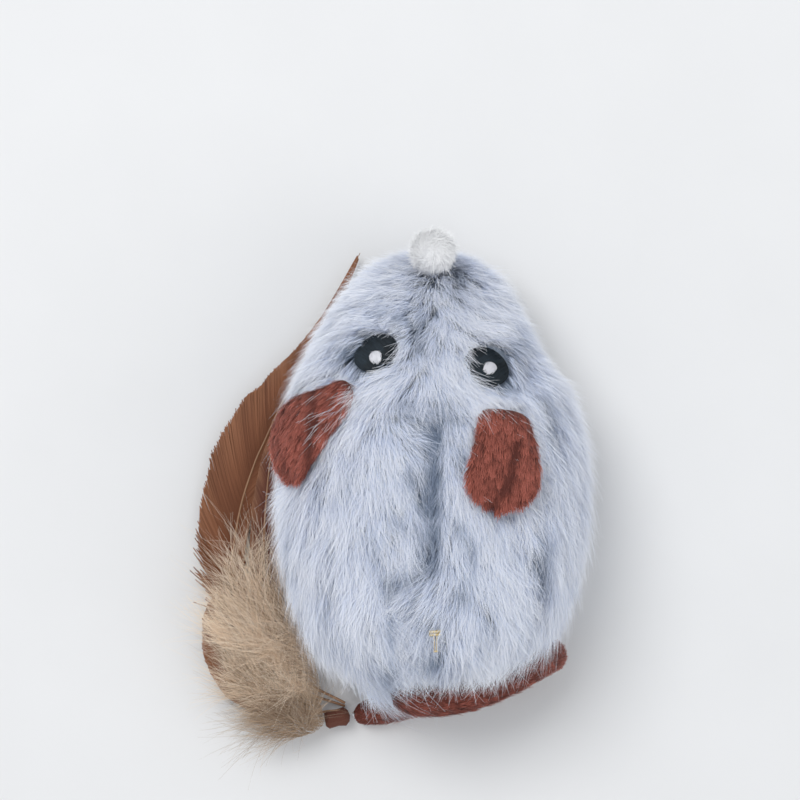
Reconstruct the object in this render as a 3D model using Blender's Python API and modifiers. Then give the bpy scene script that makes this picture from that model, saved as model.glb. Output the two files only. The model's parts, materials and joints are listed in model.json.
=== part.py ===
"""Robotic mouse cat toy: a plush-covered robot on two driven wheels, with a wired tail and a feather tuft.

Metres, +Z up, nose towards -Y, left side at +X. The wheels stand on z = 0.
"""

import math

import bmesh
import bpy
from mathutils import Matrix, Vector, geometry

# Body skin: one egg-shaped form gives the plush, the hem and both shells, each at its own depth under it
body_length = 0.0945
body_width = 0.066
body_height = 0.0525
nose_share = 0.529
nose_y = -body_length * nose_share
wheel_radius = 0.0135
widest_rise = 0.0015
widest_level = wheel_radius + widest_rise
skin_drop = 0.015
pile_overhang = 0.0025
upper_power = 2.6
lower_power = 6.0
end_share = 0.0001
width_shares = (
    (0.0, 0.0), (0.02, 0.27), (0.05, 0.41), (0.1, 0.555), (0.16, 0.675), (0.22, 0.775), (0.32, 0.91),
    (0.44, 0.985), (0.58, 1.0), (0.72, 0.96), (0.82, 0.88), (0.9, 0.755), (0.95, 0.58), (0.98, 0.38),
    (1.0, 0.0),
)
height_shares = (
    (0.0, 0.0), (0.02, 0.20), (0.05, 0.33), (0.1, 0.47), (0.16, 0.58), (0.22, 0.67), (0.32, 0.80),
    (0.44, 0.91), (0.58, 0.985), (0.66, 1.0), (0.78, 0.965), (0.88, 0.82), (0.94, 0.63), (0.98, 0.38),
    (1.0, 0.0),
)
depth_shares = (
    (0.0, 0.0), (0.02, 0.48), (0.05, 0.78), (0.08, 0.93), (0.12, 0.99), (0.16, 1.0), (0.32, 1.0),
    (0.58, 1.0), (0.8, 0.99), (0.88, 0.93), (0.94, 0.77), (0.98, 0.48), (1.0, 0.0),
)

# Fits shared by all pieces
rest_gap = 0.0003
fit_gap = 0.00015
overrun = 0.002

# Plush cover and its hem
cover_thickness = 0.0070
cover_gap = 0.0004
hem_drop = 0.008
hem_level = widest_level - hem_drop
hem_thickness = 0.0009
hem_inset = 0.0055

# Moulded shells
shell_wall = 0.0016
parting_rise = 0.006
parting_level = widest_level + parting_rise
boss_radius = 0.0031
post_radius = 0.0026
front_boss_share = 0.394
front_boss_station = 0.2646
rear_boss_share = 0.455
rear_boss_station = 0.8254
screw_head_radius = 0.00165
screw_head_height = 0.0012
screw_shank_radius = 0.00075
screw_grip = 0.0052
screw_length = 0.010
head_recess_gap = 0.00025

# Gear train
gear_module = 0.0004
pressure_angle = math.radians(25)
tooth_backlash = 0.00012
addendum_share = 1.0
dedendum_share = 1.25
pinion_teeth = 12
idler_large_teeth = 32
idler_small_teeth = 12
final_teeth = 30
gear_width = 0.0022
gear_side_gap = 0.0004
idler_rise = 0.003
motor_drop = 0.0017
axle_radius = 0.001
idler_pin_radius = 0.00075

# Gearbox plates and pillars
wheel_side_gap = 0.0033
plate_thickness = 0.0012
plate_rim = 0.0006
lug_radius = 0.0015
pillar_radius = 0.0008
pillar_gap = 0.0003

# Motors
motor_middle_gap = 0.0005
motor_past_case = 0.0027
motor_across = 0.012
motor_flat = 0.010
motor_boss_radius = 0.002
motor_boss_length = 0.0008
motor_shaft_radius = 0.0005
motor_shaft_depth = 0.004

# Driven wheels
axle_station = 0.5714
wheel_width = 0.005
wheel_gap = 0.0005
wheel_well_gap = 0.0008
tyre_thickness = 0.0036
tread_depth = 0.0006
tread_count = 22
tread_top_share = 0.25
tread_foot_share = 0.333
hub_rim = 0.0010
hub_web = 0.0016
hub_boss_radius = 0.003
hub_face_step = 0.0006

# Caster
caster_station = 0.2434
caster_trail = 0.002
caster_radius_share = 0.311
caster_width = 0.0036
caster_pin_radius = 0.0006
caster_eye_radius = 0.0018
caster_shoulder = 0.0012
caster_rim = 0.00045
cheek_thickness = 0.001
cheek_gap = 0.0004
fork_plate_radius = 0.0042
fork_plate_thickness = 0.0010
stem_radius = 0.00125
stem_head_radius = 0.0019
stem_head_height = 0.001
caster_pocket_radius = 0.0072
caster_cup_wall = 0.0014
caster_boss_radius = 0.003
caster_boss_height = 0.0056

# Battery and electronics
battery_size = Vector((0.0, 0.024, 0.006))
battery_side_gap = 0.0004
battery_rounding = 0.0015
battery_station = 0.3598
board_size = Vector((0.0225, 0.018, 0.0012))
board_station = 0.7672
board_drop = 0.003
board_post_radius = 0.0012
board_post_inset = 0.0022
chip_size = Vector((0.007, 0.005, 0.0012))
socket_size = Vector((0.0075, 0.0026, 0.0))
socket_x = 0.0037
socket_station = 0.8148
socket_wall = 0.0003
socket_mouth_depth = 0.004
tongue_size = Vector((0.0045, 0.0006, 0.0))
led_radius = 0.0012
led_station = 0.7249
switch_size = Vector((0.0088, 0.0036, 0.0042))
switch_x = -0.0050
switch_station = 0.7884
slider_size = Vector((0.0024, 0.0018, 0.0))
slider_travel = 0.0020
slider_depth = 0.0014
slider_reach = 0.0006

# Tail
tail_root_x = 0.0055
tail_root_share = 0.219
tail_radius = 0.0034
tail_tip_radius = 0.0017
tail_wire_radius = 0.0006
tail_ground_gap = 0.0004
tail_press_gap = 0.0003
anchor_radius = 0.0019
anchor_seat_gap = 0.0009
anchor_outside = 0.0030
anchor_flange_radius = 0.0031
anchor_flange_thickness = 0.0010
tail_neck = 0.0020
tail_route_shares = (
    (0.103, 1.012, 0.48), (-0.048, 1.014, 0.491), (-0.273, 0.999, 0.472), (-0.5, 0.968, 0.423),
    (-0.697, 0.933, 0.324), (-0.782, 0.925, 0.185), (-0.764, 0.938, 0.061), (-0.621, 0.968, 0.0),
    (-0.364, 0.993, 0.0), (-0.121, 1.016, 0.0), (0.091, 1.039, 0.0), (0.291, 1.057, 0.0),
    (0.524, 1.072, 0.0),
)

# Feather tuft
binding_radius = 0.0021
binding_length = 0.0056
tuft_gap = 0.0006
binding_profile_shares = ((0, 1), (0.7, 1), (1, 0.88), (0.88, 0.5), (1, 0.22), (0.6, 0.06), (0, 0))
feather_thickness = 0.0008
broad_level = 0.0016
narrow_level = 0.0038
down_height = 0.0088
quill_spread = 0.0009
broad_quill_drop = 0.0013
down_stalk_rise = 0.0017
broad_half_width = 0.0072
narrow_half_width = 0.0044
short_half_width = 0.0034
down_half_width = 0.0098
broad_route_shares = (
    (0.943, 1.031), (1.137, 0.941), (1.275, 0.807), (1.294, 0.677), (1.229, 0.538),
    (1.109, 0.404), (0.97, 0.298), (0.795, 0.173), (0.61, 0.066), (0.462, 0.001),
)
narrow_route_shares = (
    (0.887, 1.02), (1.035, 0.918), (1.128, 0.788), (1.137, 0.659), (1.1, 0.511),
    (1.035, 0.381), (0.97, 0.298),
)
short_route_shares = (
    (0.943, 1.092), (1.146, 1.02), (1.331, 0.927), (1.442, 0.807), (1.479, 0.696),
)
down_route_shares = (
    (0.83, 1.07), (0.99, 1.0), (1.085, 0.909), (1.19, 0.798), (1.265, 0.677),
)
down_size_shares = (0.03, 0.62, 0.92, 1.0, 0.80, 0.12)
feather_size_shares = (
    (0.0, 0.10), (0.16, 0.11), (0.24, 0.55), (0.36, 0.92), (0.55, 1.0), (0.8, 0.62), (0.94, 0.3), (1.0, 0.08),
)

# Face and ears
patch_gap = 0.0003
pad_crown_share = 0.86
eye_length = 0.0098
eye_width = 0.0075
eye_thickness = 0.0007
pupil_length = 0.0029
pupil_width = 0.0026
pupil_thickness = 0.0004
left_eye_share = 0.3515
left_eye_station = 0.2413
right_eye_share = -0.3455
right_eye_station = 0.2656
left_eye_turn = math.radians(-42)
right_eye_turn = math.radians(40)
pupil_shift = 0.0002
pupil_back = 0.0008
pompom_radii = Vector((0.0047, 0.0042, 0.0044))
pompom_start = 0.010
pompom_turn = math.radians(65)
ear_length = 0.0215
ear_thickness = 0.0017
ear_lift = 0.0016
ear_cup = 0.0012
ear_crease = 0.0010
ear_crease_width = 0.0016
left_ear_share = 0.5303
left_ear_station = 0.3037
left_ear_turn = math.radians(-34)
left_ear_width = 0.0130
left_ear_shares = (
    (0.0, 0.10, 0.10), (0.06, 0.16, 0.285), (0.22, 0.34, 0.355), (0.39, 0.74, 0.39), (0.55, 0.87, 0.42),
    (0.74, 0.84, 0.47), (0.86, 0.62, 0.52), (0.95, 0.28, 0.53), (1.0, 0.02, 0.42),
)
left_crease_shares = (0.0, 0.30)
right_ear_share = -0.418
right_ear_station = 0.3608
right_ear_turn = math.radians(-6)
right_ear_width = 0.0075
right_ear_shares = (
    (0.0, 0.42, 0.40), (0.05, 0.62, 0.72), (0.17, 0.63, 0.86), (0.44, 0.76, 0.97), (0.65, 0.93, 1.0),
    (0.79, 0.92, 0.90), (0.88, 0.76, 0.62), (0.96, 0.44, 0.24), (1.0, 0.12, 0.06),
)
right_crease_shares = (0.85, -0.35)

# Facets. A large gear's flank is nearly straight, so it takes one step
small_flank_steps = 2
large_flank_steps = 1
skin_rings = 14
skin_sides = 22
cover_rings = 18
cover_sides = 28
tail_stations = 26
tail_round_stations = 3
wheel_sides = 24
round_sides = 16
small_sides = 10
corner_sides = 8
ribbon_sides = 8
down_sides = 12
broad_stations = 22
narrow_stations = 18
short_stations = 14
down_stations = 14
eye_sides = 20
pupil_sides = 12
pad_rings = 3


def clear_scene():
    for item in list(bpy.data.objects):
        bpy.data.objects.remove(item, do_unlink=True)


def new_collection(name):
    collection = bpy.data.collections.new(name)
    bpy.context.scene.collection.children.link(collection)
    return collection


def finish(name, color, roughness, metallic=0.0):
    material = bpy.data.materials.new(name)
    material.use_nodes = True
    shader = material.node_tree.nodes["Principled BSDF"]
    shader.inputs["Base Color"].default_value = (*color, 1.0)
    shader.inputs["Roughness"].default_value = roughness
    shader.inputs["Metallic"].default_value = metallic
    material.diffuse_color = (*color, 1.0)
    return material


clear_scene()
toy = new_collection("robotic_mouse_cat_toy")
cutters = new_collection("cutters")
root = bpy.data.objects.new("toy_root", None)
toy.objects.link(root)

pale_plush = finish("pale_plush", (0.60, 0.67, 0.78), 0.95)
hem_tape = finish("hem_tape", (0.16, 0.18, 0.21), 0.9)
russet_plush = finish("russet_plush", (0.26, 0.055, 0.032), 0.9)
white_plush = finish("white_plush", (0.86, 0.87, 0.88), 0.95)
black_thread = finish("black_thread", (0.012, 0.018, 0.026), 0.6)
white_thread = finish("white_thread", (0.80, 0.80, 0.82), 0.6)
shell_plastic = finish("shell_plastic", (0.10, 0.11, 0.13), 0.45)
gear_plastic = finish("gear_plastic", (0.72, 0.70, 0.64), 0.4)
case_plastic = finish("case_plastic", (0.05, 0.05, 0.055), 0.45)
wheel_plastic = finish("wheel_plastic", (0.70, 0.70, 0.72), 0.4)
rubber = finish("rubber", (0.02, 0.02, 0.022), 0.85)
steel = finish("steel", (0.55, 0.56, 0.58), 0.3, 1.0)
can_steel = finish("can_steel", (0.62, 0.62, 0.63), 0.35, 1.0)
board_green = finish("board_green", (0.02, 0.13, 0.05), 0.5)
chip_black = finish("chip_black", (0.015, 0.015, 0.016), 0.5)
battery_foil = finish("battery_foil", (0.45, 0.47, 0.50), 0.4, 0.6)
lens_clear = finish("lens_clear", (0.75, 0.80, 0.78), 0.2)
feather_tan = finish("feather_tan", (0.36, 0.15, 0.07), 0.7)
feather_dark = finish("feather_dark", (0.16, 0.06, 0.04), 0.7)
down_cream = finish("down_cream", (0.50, 0.38, 0.28), 0.95)


# Mesh and object helpers


def add_piece(name, mesh, material, pivot=(0, 0, 0)):
    """A named node whose mesh is written about its pivot."""
    mesh.materials.clear()
    mesh.materials.append(material)
    piece = bpy.data.objects.new(name, mesh)
    piece.location = pivot
    piece.parent = root
    toy.objects.link(piece)
    return piece


def add_cutter(name, mesh, pivot=(0, 0, 0)):
    cutter = bpy.data.objects.new(name, mesh)
    cutter.location = pivot
    cutter.parent = root
    cutter.hide_render = True
    cutter.display_type = "WIRE"
    cutters.objects.link(cutter)
    return cutter


def boolean(piece, cutter, operation):
    modifier = piece.modifiers.new(f"{operation.lower()}_{cutter.name}", "BOOLEAN")
    modifier.object = cutter
    modifier.operation = operation
    modifier.solver = "EXACT"


def smooth(mesh, angle=math.radians(35)):
    mesh.shade_smooth()
    mesh.set_sharp_from_angle(angle=angle)


def mesh_from(bm, name):
    bmesh.ops.recalc_face_normals(bm, faces=bm.faces)
    mesh = bpy.data.meshes.new(name)
    bm.to_mesh(mesh)
    bm.free()
    smooth(mesh)
    return mesh


def loft_mesh(name, rows):
    """A closed mesh through rows of points. An end row is one point, or a ring that gets a cap."""
    bm = bmesh.new()
    made = [[bm.verts.new(point) for point in row] for row in rows]
    for first, second in zip(made, made[1:]):
        for k in range(max(len(first), len(second))):
            after = k + 1
            corners = (
                first[k % len(first)],
                first[after % len(first)],
                second[after % len(second)],
                second[k % len(second)],
            )
            bm.faces.new(list(dict.fromkeys(corners)))
    for ring in (made[0], made[-1]):
        if len(ring) > 1:
            bm.faces.new(ring)
    return mesh_from(bm, name)


def box_mesh(name, boxes):
    """One closed box for each pair of opposite corners."""
    bm = bmesh.new()
    for low, high in boxes:
        low, high = Vector(low), Vector(high)
        size = high - low
        matrix = Matrix.Translation((low + high) / 2) @ Matrix.Diagonal((*size, 1))
        bmesh.ops.create_cube(bm, size=1, matrix=matrix)
    return mesh_from(bm, name)


def rod_mesh(name, rods, sides=round_sides):
    """One closed cylinder for each (radius, start, end)."""
    bm = bmesh.new()
    for radius, start, end in rods:
        start, end = Vector(start), Vector(end)
        run = end - start
        turn = run.to_track_quat("Z", "Y").to_matrix().to_4x4()
        matrix = Matrix.Translation((start + end) / 2) @ turn
        bmesh.ops.create_cone(
            bm, cap_ends=True, segments=sides, radius1=radius, radius2=radius, depth=run.length, matrix=matrix
        )
    return mesh_from(bm, name)


def mesh_of_curve(name, curve):
    """The welded mesh of a curve object, which is then removed."""
    holder = bpy.data.objects.new(name, curve)
    toy.objects.link(holder)
    graph = bpy.context.evaluated_depsgraph_get()
    mesh = bpy.data.meshes.new_from_object(holder.evaluated_get(graph))
    bpy.data.objects.remove(holder, do_unlink=True)
    bm = bmesh.new()
    bm.from_mesh(mesh)
    bpy.data.meshes.remove(mesh)
    bmesh.ops.remove_doubles(bm, verts=bm.verts, dist=weld_distance)
    return mesh_from(bm, name)


weld_distance = 1e-6
along_x = Matrix(((0, 0, 1, 0), (1, 0, 0, 0), (0, 1, 0, 0), (0, 0, 0, 1)))


def extruded_mesh(name, outlines, low, high):
    """A flat outline of (Y, Z) pairs with its holes, as thick as the two levels along X are apart."""
    curve = bpy.data.curves.new(name, "CURVE")
    curve.dimensions = "2D"
    curve.fill_mode = "BOTH"
    curve.extrude = abs(high - low) / 2
    for outline in outlines:
        spline = curve.splines.new("POLY")
        spline.points.add(len(outline) - 1)
        spline.use_cyclic_u = True
        for point, (first, second) in zip(spline.points, outline):
            point.co = (first, second, 0, 1)
    mesh = mesh_of_curve(name, curve)
    mesh.transform(along_x @ Matrix.Translation((0, 0, (low + high) / 2)))
    return mesh


def tube_mesh(name, points, radius, radius_shares=None, resolution=2):
    """A round tube along points, made as a bevelled curve with filled caps."""
    curve = bpy.data.curves.new(name, "CURVE")
    curve.dimensions = "3D"
    curve.bevel_depth = radius
    curve.bevel_resolution = resolution
    curve.use_fill_caps = True
    spline = curve.splines.new("POLY")
    spline.points.add(len(points) - 1)
    for k, point in enumerate(points):
        spline.points[k].co = (*point, 1)
        spline.points[k].radius = radius_shares[k] if radius_shares else 1
    return mesh_of_curve(name, curve)


def turned_piece(name, profile, material, pivot, turn, steps=round_sides):
    """A shape of revolution from a closed loop of (radius, height), running down its outer side."""
    mesh = bpy.data.meshes.new(name)
    count = len(profile)
    open_ends = profile[0][0] == 0 and profile[-1][0] == 0
    edges = [(k, (k + 1) % count) for k in range(count - 1 if open_ends else count)]
    mesh.from_pydata([(radius, 0, height) for radius, height in profile], edges, [])
    piece = add_piece(name, mesh, material, pivot)
    piece.rotation_mode = "QUATERNION"
    piece.rotation_quaternion = turn
    screw = piece.modifiers.new("turning", "SCREW")
    screw.axis = "Z"
    screw.steps = steps
    screw.render_steps = steps
    screw.use_merge_vertices = True
    screw.merge_threshold = weld_distance
    return piece


def circle(radius, centre=(0, 0), sides=small_sides, start=0.0, end=math.tau):
    """Points of a circle, or of an arc with both its ends."""
    steps = sides if end - start == math.tau else sides - 1
    turns = [start + (end - start) * k / steps for k in range(sides)]
    return [(centre[0] + radius * math.cos(turn), centre[1] + radius * math.sin(turn)) for turn in turns]


def hull_outline(points):
    """The convex outline round a set of flat points."""
    vectors = [Vector(point) for point in points]
    return [tuple(vectors[index]) for index in geometry.convex_hull_2d(vectors)]


def smooth_route(points, count):
    """Evenly numbered points of a smooth curve through the given ones."""
    points = [Vector(point) for point in points]
    padded = [points[0] * 2 - points[1]] + points + [points[-1] * 2 - points[-2]]
    spans = len(points) - 1
    route = []
    for k in range(count):
        place = k / (count - 1) * spans
        span = min(int(place), spans - 1)
        t = place - span
        a, b, c, d = padded[span:span + 4]
        curve = b * 2 + (c - a) * t + (a * 2 - b * 5 + c * 4 - d) * t * t + (b * 3 - a - c * 3 + d) * t ** 3
        route.append(curve / 2)
    return route


# Skin of the body


def share_at(table, place):
    """A smooth curve through (place, size) shares, read on a scale that bunches up at both ends."""
    knots = [math.acos(1 - 2 * share) for share, size in table]
    sizes = [size for share, size in table]
    at = math.acos(1 - 2 * min(max(place, 0), 1))
    span = next((k for k in range(len(knots) - 2) if at < knots[k + 1]), len(knots) - 2)
    slopes = []
    for k in (span, span + 1):
        before, after = max(k - 1, 0), min(k + 1, len(knots) - 1)
        slopes.append((sizes[after] - sizes[before]) / (knots[after] - knots[before]))
    width = knots[span + 1] - knots[span]
    t = (at - knots[span]) / width
    start = (2 * t ** 3 - 3 * t ** 2 + 1) * sizes[span] + (t ** 3 - 2 * t ** 2 + t) * width * slopes[0]
    end = (3 * t ** 2 - 2 * t ** 3) * sizes[span + 1] + (t ** 3 - t ** 2) * width * slopes[1]
    return start + end


def station(share):
    """How far back a place on the body's length is."""
    return nose_y + body_length * share


def skin_sizes(y, inset):
    """The skin's half width, and its reach above and below the widest level, at a depth under the plush."""
    place = min(max((y - nose_y - inset) / (body_length - 2 * inset), end_share), 1 - end_share)
    half = (body_width / 2 - inset) * share_at(width_shares, place)
    top = (body_height - widest_level - inset) * share_at(height_shares, place)
    low = (skin_drop - max(inset - pile_overhang, 0)) * share_at(depth_shares, place)
    return half, top, low


def skin_top(x, y, inset=0.0):
    half, top, low = skin_sizes(y, inset)
    return widest_level + top * (1 - min(abs(x) / half, 1) ** upper_power) ** (1 / upper_power)


def skin_bottom(x, y, inset=0.0):
    half, top, low = skin_sizes(y, inset)
    return widest_level - low * (1 - min(abs(x) / half, 1) ** lower_power) ** (1 / lower_power)


def skin_excess(point, inset):
    """Below zero inside the skin, above zero outside it."""
    place = (point.y - nose_y - inset) / (body_length - 2 * inset)
    if not 0 < place < 1:
        return 1.0
    half, top, low = skin_sizes(point.y, inset)
    height = point.z - widest_level
    power = upper_power if height > 0 else lower_power
    reach = top if height > 0 else low
    return (abs(point.x) / half) ** power + (abs(height) / reach) ** power - 1


def skin_normal(point, inset):
    step = rest_gap
    base = skin_excess(point, inset)
    axes = (Vector((step, 0, 0)), Vector((0, step, 0)), Vector((0, 0, step)))
    return Vector([skin_excess(point + axis, inset) - base for axis in axes]).normalized()


def onto_skin(point, direction, inset=0.0):
    """Where the line through a point, along an outward direction, leaves the skin."""
    inside, outside = point - direction * body_height / 2, point + direction * body_height / 2
    for _ in range(40):
        middle = (inside + outside) / 2
        if skin_excess(middle, inset) < 0:
            inside = middle
        else:
            outside = middle
    return (inside + outside) / 2


def skin_mesh(name, inset, rings, sides):
    """The closed egg form at a depth under the plush surface."""
    ends = nose_y + inset, nose_y + body_length - inset
    rows = [[(0, ends[0], widest_level)]]
    for ring in range(1, rings):
        place = (1 - math.cos(math.pi * ring / rings)) / 2
        y = ends[0] + (ends[1] - ends[0]) * place
        half, top, low = skin_sizes(y, inset)
        row = []
        for side in range(sides):
            angle = math.tau * side / sides
            across, up = math.cos(angle), math.sin(angle)
            power = upper_power if up > 0 else lower_power
            reach = top if up > 0 else low
            x = math.copysign(abs(across) ** (2 / power), across) * half
            z = math.copysign(abs(up) ** (2 / power), up) * reach
            row.append((x, y, widest_level + z))
        rows.append(row)
    rows.append([(0, ends[1], widest_level)])
    return loft_mesh(name, rows)


def slab_mesh(name, low, high):
    """A slab larger than the body, between two levels."""
    return box_mesh(name, [((-body_width, -body_length, low), (body_width, body_length, high))])


shell_inset = cover_thickness + cover_gap
shell_middle = shell_inset + shell_wall / 2
room_inset = shell_inset + shell_wall


# Plush cover and hem


def tail_root():
    """Where the tail's wire passes the shell, its outward direction, and the same place on the plush."""
    start = Vector((tail_root_x, 0, widest_level + body_height * tail_root_share))
    back = Vector((0, 1, 0))
    seat = onto_skin(start + back * body_length / 4, back, shell_inset)
    outward = skin_normal(seat, shell_inset)
    return seat, outward, onto_skin(seat, outward)


def tail_points():
    seat, outward, leaves = tail_root()
    level = tail_radius + tail_ground_gap
    lying = [
        Vector((x * body_width / 2, nose_y + y * body_length, level + z * body_height))
        for x, y, z in tail_route_shares
    ]
    start = leaves + outward * (rest_gap + fit_gap)
    return [start] + smooth_route([leaves + outward * tail_neck] + lying, tail_stations)


def plush_pieces():
    cover = add_piece("plush_cover", skin_mesh("plush_cover", 0.0, cover_rings, cover_sides), pale_plush)
    inner = add_cutter("cover_inside", skin_mesh("cover_inside", cover_thickness, skin_rings, skin_sides))
    boolean(cover, inner, "DIFFERENCE")
    below = add_cutter("below_hem", slab_mesh("below_hem", -body_height, hem_level))
    boolean(cover, below, "DIFFERENCE")
    seat, outward, leaves = tail_root()
    hole = [(anchor_radius + rest_gap, seat - outward * overrun, leaves + outward * overrun)]
    boolean(cover, add_cutter("tail_hole_in_plush", rod_mesh("tail_hole_in_plush", hole)), "DIFFERENCE")
    press = tube_mesh("tail_press", tail_points()[1:], tail_radius + tail_press_gap)
    boolean(cover, add_cutter("tail_press", press), "DIFFERENCE")

    hem = add_piece("cover_hem", skin_mesh("cover_hem", hem_inset, skin_rings, skin_sides), hem_tape)
    hem_inner = skin_mesh("hem_inside", shell_inset - rest_gap, skin_rings, skin_sides)
    boolean(hem, add_cutter("hem_inside", hem_inner), "DIFFERENCE")
    top = hem_level - rest_gap
    boolean(hem, add_cutter("hem_band", slab_mesh("hem_band", top - hem_thickness, top)), "INTERSECT")


# Moulded shells

front_boss_x = body_width / 2 * front_boss_share
rear_boss_x = body_width / 2 * rear_boss_share
boss_places = (
    (front_boss_x, station(front_boss_station)),
    (-front_boss_x, station(front_boss_station)),
    (rear_boss_x, station(rear_boss_station)),
    (-rear_boss_x, station(rear_boss_station)),
)


def stepped_rod(name, centre, steps):
    """Stacked cylinders about one upright line, from (radius, low level, high level), lowest first."""
    outline = []
    for radius, low, high in steps:
        outline += [(radius, low), (radius, high)]
    rows = [[(centre[0], centre[1], outline[0][1])]]
    for radius, level in outline:
        rows.append([(x, y, level) for x, y in circle(radius, centre, round_sides)])
    rows.append([(centre[0], centre[1], outline[-1][1])])
    return loft_mesh(name, rows)


def joined_mesh(name, meshes):
    bm = bmesh.new()
    for mesh in meshes:
        bm.from_mesh(mesh)
        bpy.data.meshes.remove(mesh)
    return mesh_from(bm, name)


def hollow_shell(name):
    shell = add_piece(name, skin_mesh(name, shell_inset, skin_rings, skin_sides), shell_plastic)
    room = skin_mesh(f"{name}_room", room_inset, skin_rings, skin_sides)
    boolean(shell, add_cutter(f"{name}_room", room), "DIFFERENCE")
    return shell


def add_trimmed(shell, name, mesh):
    """Ribs and posts join a shell, ending in the middle of its wall."""
    ribs = add_cutter(name, mesh)
    form = add_cutter(f"{name}_limit", skin_mesh(f"{name}_limit", shell_middle, skin_rings, skin_sides))
    boolean(ribs, form, "INTERSECT")
    boolean(shell, ribs, "UNION")


caster_radius = wheel_radius * caster_radius_share
caster_y = station(caster_station)
axle_y = station(axle_station)
board_y = station(board_station)
board_level = widest_level - board_drop
socket_y = station(socket_station)
led_y = station(led_station)
switch_y = station(switch_station)
caster_wheel_level = caster_radius
fork_plate_level = caster_wheel_level + caster_radius + rest_gap
pocket_level = fork_plate_level + fork_plate_thickness + rest_gap
cup_level = pocket_level + caster_cup_wall
stem_top = cup_level + caster_boss_height + rest_gap
screw_seat = parting_level - rest_gap / 2 - screw_grip
recess_radius = screw_head_radius + head_recess_gap
idler_distance = gear_module * (idler_small_teeth + final_teeth) / 2
motor_distance = gear_module * (pinion_teeth + idler_large_teeth) / 2
axle_level = wheel_radius
idler_level = axle_level + idler_rise
motor_level = idler_level - motor_drop
idler_y = axle_y - math.sqrt(idler_distance ** 2 - idler_rise ** 2)
motor_y = idler_y - math.sqrt(motor_distance ** 2 - motor_drop ** 2)
wheel_x = body_width / 2 - shell_inset - wheel_side_gap - wheel_width
gear_cover_x = wheel_x - wheel_gap - plate_thickness
plane_b_x = gear_cover_x - gear_side_gap - gear_width
plane_a_x = plane_b_x - gear_side_gap - gear_width
case_x = plane_a_x - gear_side_gap - plate_thickness
motor_length = case_x + motor_past_case - motor_middle_gap
battery_size.x = (case_x - battery_side_gap) * 2


def shell_pieces():
    lower = hollow_shell("lower_shell")
    posts = [
        rod_mesh("boss", [(boss_radius, (x, y, 0), (x, y, parting_level + overrun))]) for x, y in boss_places
    ]
    post_x = board_size.x / 2 - board_post_inset
    for x in (-post_x, post_x):
        for end in (-1, 1):
            y = board_y + end * (board_size.y / 2 - board_post_inset)
            top = board_level - rest_gap
            posts.append(rod_mesh("board_post", [(board_post_radius, (x, y, 0), (x, y, top))], small_sides))
    cradle_top = motor_level - motor_across / 2 - rest_gap
    rib_reach = case_x - plate_thickness
    for end in (-1, 1):
        middle = motor_y + end * motor_flat / 4
        low = (-rib_reach, middle - plate_thickness / 2, 0)
        posts.append(box_mesh("cradle", [(low, (rib_reach, middle + plate_thickness / 2, cradle_top))]))
    add_trimmed(lower, "lower_ribs", joined_mesh("lower_ribs", posts))
    cup = [
        (caster_pocket_radius + caster_cup_wall, 0, cup_level),
        (caster_boss_radius, cup_level, cup_level + caster_boss_height),
    ]
    add_trimmed(lower, "caster_cup", stepped_rod("caster_cup", (0, caster_y), cup))
    above = slab_mesh("above_parting", parting_level - rest_gap / 2, body_height * 2)
    boolean(lower, add_cutter("above_parting", above), "DIFFERENCE")

    pocket = [
        (caster_pocket_radius, -overrun, pocket_level),
        (stem_radius + fit_gap, pocket_level, stem_top + overrun),
    ]
    cuts = [stepped_rod("pocket", (0, caster_y), pocket)]
    for x, y in boss_places:
        hole = [
            (recess_radius, 0, screw_seat),
            (screw_shank_radius + fit_gap, screw_seat, parting_level + overrun),
        ]
        cuts.append(stepped_rod("screw_hole", (x, y), hole))
    well = wheel_radius + wheel_well_gap
    for side in (-1, 1):
        start = side * (wheel_x - wheel_well_gap), axle_y, axle_level
        end = side * (wheel_x + wheel_width + wheel_well_gap), axle_y, axle_level
        cuts.append(rod_mesh("wheel_well", [(well, start, end)], wheel_sides))
    for size, x, y in ((socket_size, socket_x, socket_y), (slider_size, switch_x, switch_y)):
        reach = size / 2 + Vector((rest_gap, rest_gap, 0))
        if size is slider_size:
            reach.x += slider_travel / 2
        low = (x - reach.x, y - reach.y, 0)
        cuts.append(box_mesh("slot", [(low, (x + reach.x, y + reach.y, room_inset + overrun))]))
    lens = [(led_radius + rest_gap, (0, led_y, 0), (0, led_y, room_inset + overrun))]
    cuts.append(rod_mesh("lens_hole", lens, small_sides))
    boolean(lower, add_cutter("tray_cuts", joined_mesh("tray_cuts", cuts)), "DIFFERENCE")

    upper = hollow_shell("upper_shell")
    posts = [rod_mesh("post", [(post_radius, (x, y, 0), (x, y, body_height))]) for x, y in boss_places]
    add_trimmed(upper, "upper_posts", joined_mesh("upper_posts", posts))
    under = slab_mesh("below_parting", -body_height, parting_level + rest_gap / 2)
    boolean(upper, add_cutter("below_parting", under), "DIFFERENCE")
    pilot = screw_shank_radius + fit_gap
    deep = screw_seat + screw_length + rest_gap
    cuts = [rod_mesh("pilot", [(pilot, (x, y, 0), (x, y, deep))], small_sides) for x, y in boss_places]
    seat, outward, leaves = tail_root()
    reach = outward * (shell_wall + overrun)
    cuts.append(rod_mesh("anchor_hole", [(anchor_radius + fit_gap, seat - reach, seat + reach)]))
    boolean(upper, add_cutter("dome_cuts", joined_mesh("dome_cuts", cuts)), "DIFFERENCE")


def case_screws():
    for number, (x, y) in enumerate(boss_places, 1):
        head_bottom = screw_seat - rest_gap - screw_head_height
        steps = [
            (screw_head_radius, head_bottom, screw_seat - rest_gap),
            (screw_shank_radius, screw_seat - rest_gap, screw_seat + screw_length - rest_gap),
        ]
        name = f"case_screw_{number}"
        add_piece(name, stepped_rod(name, (x, y), steps), steel)


# Gear train


def involute(radius, base):
    angle = math.acos(base / radius)
    return math.tan(angle) - angle


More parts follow.
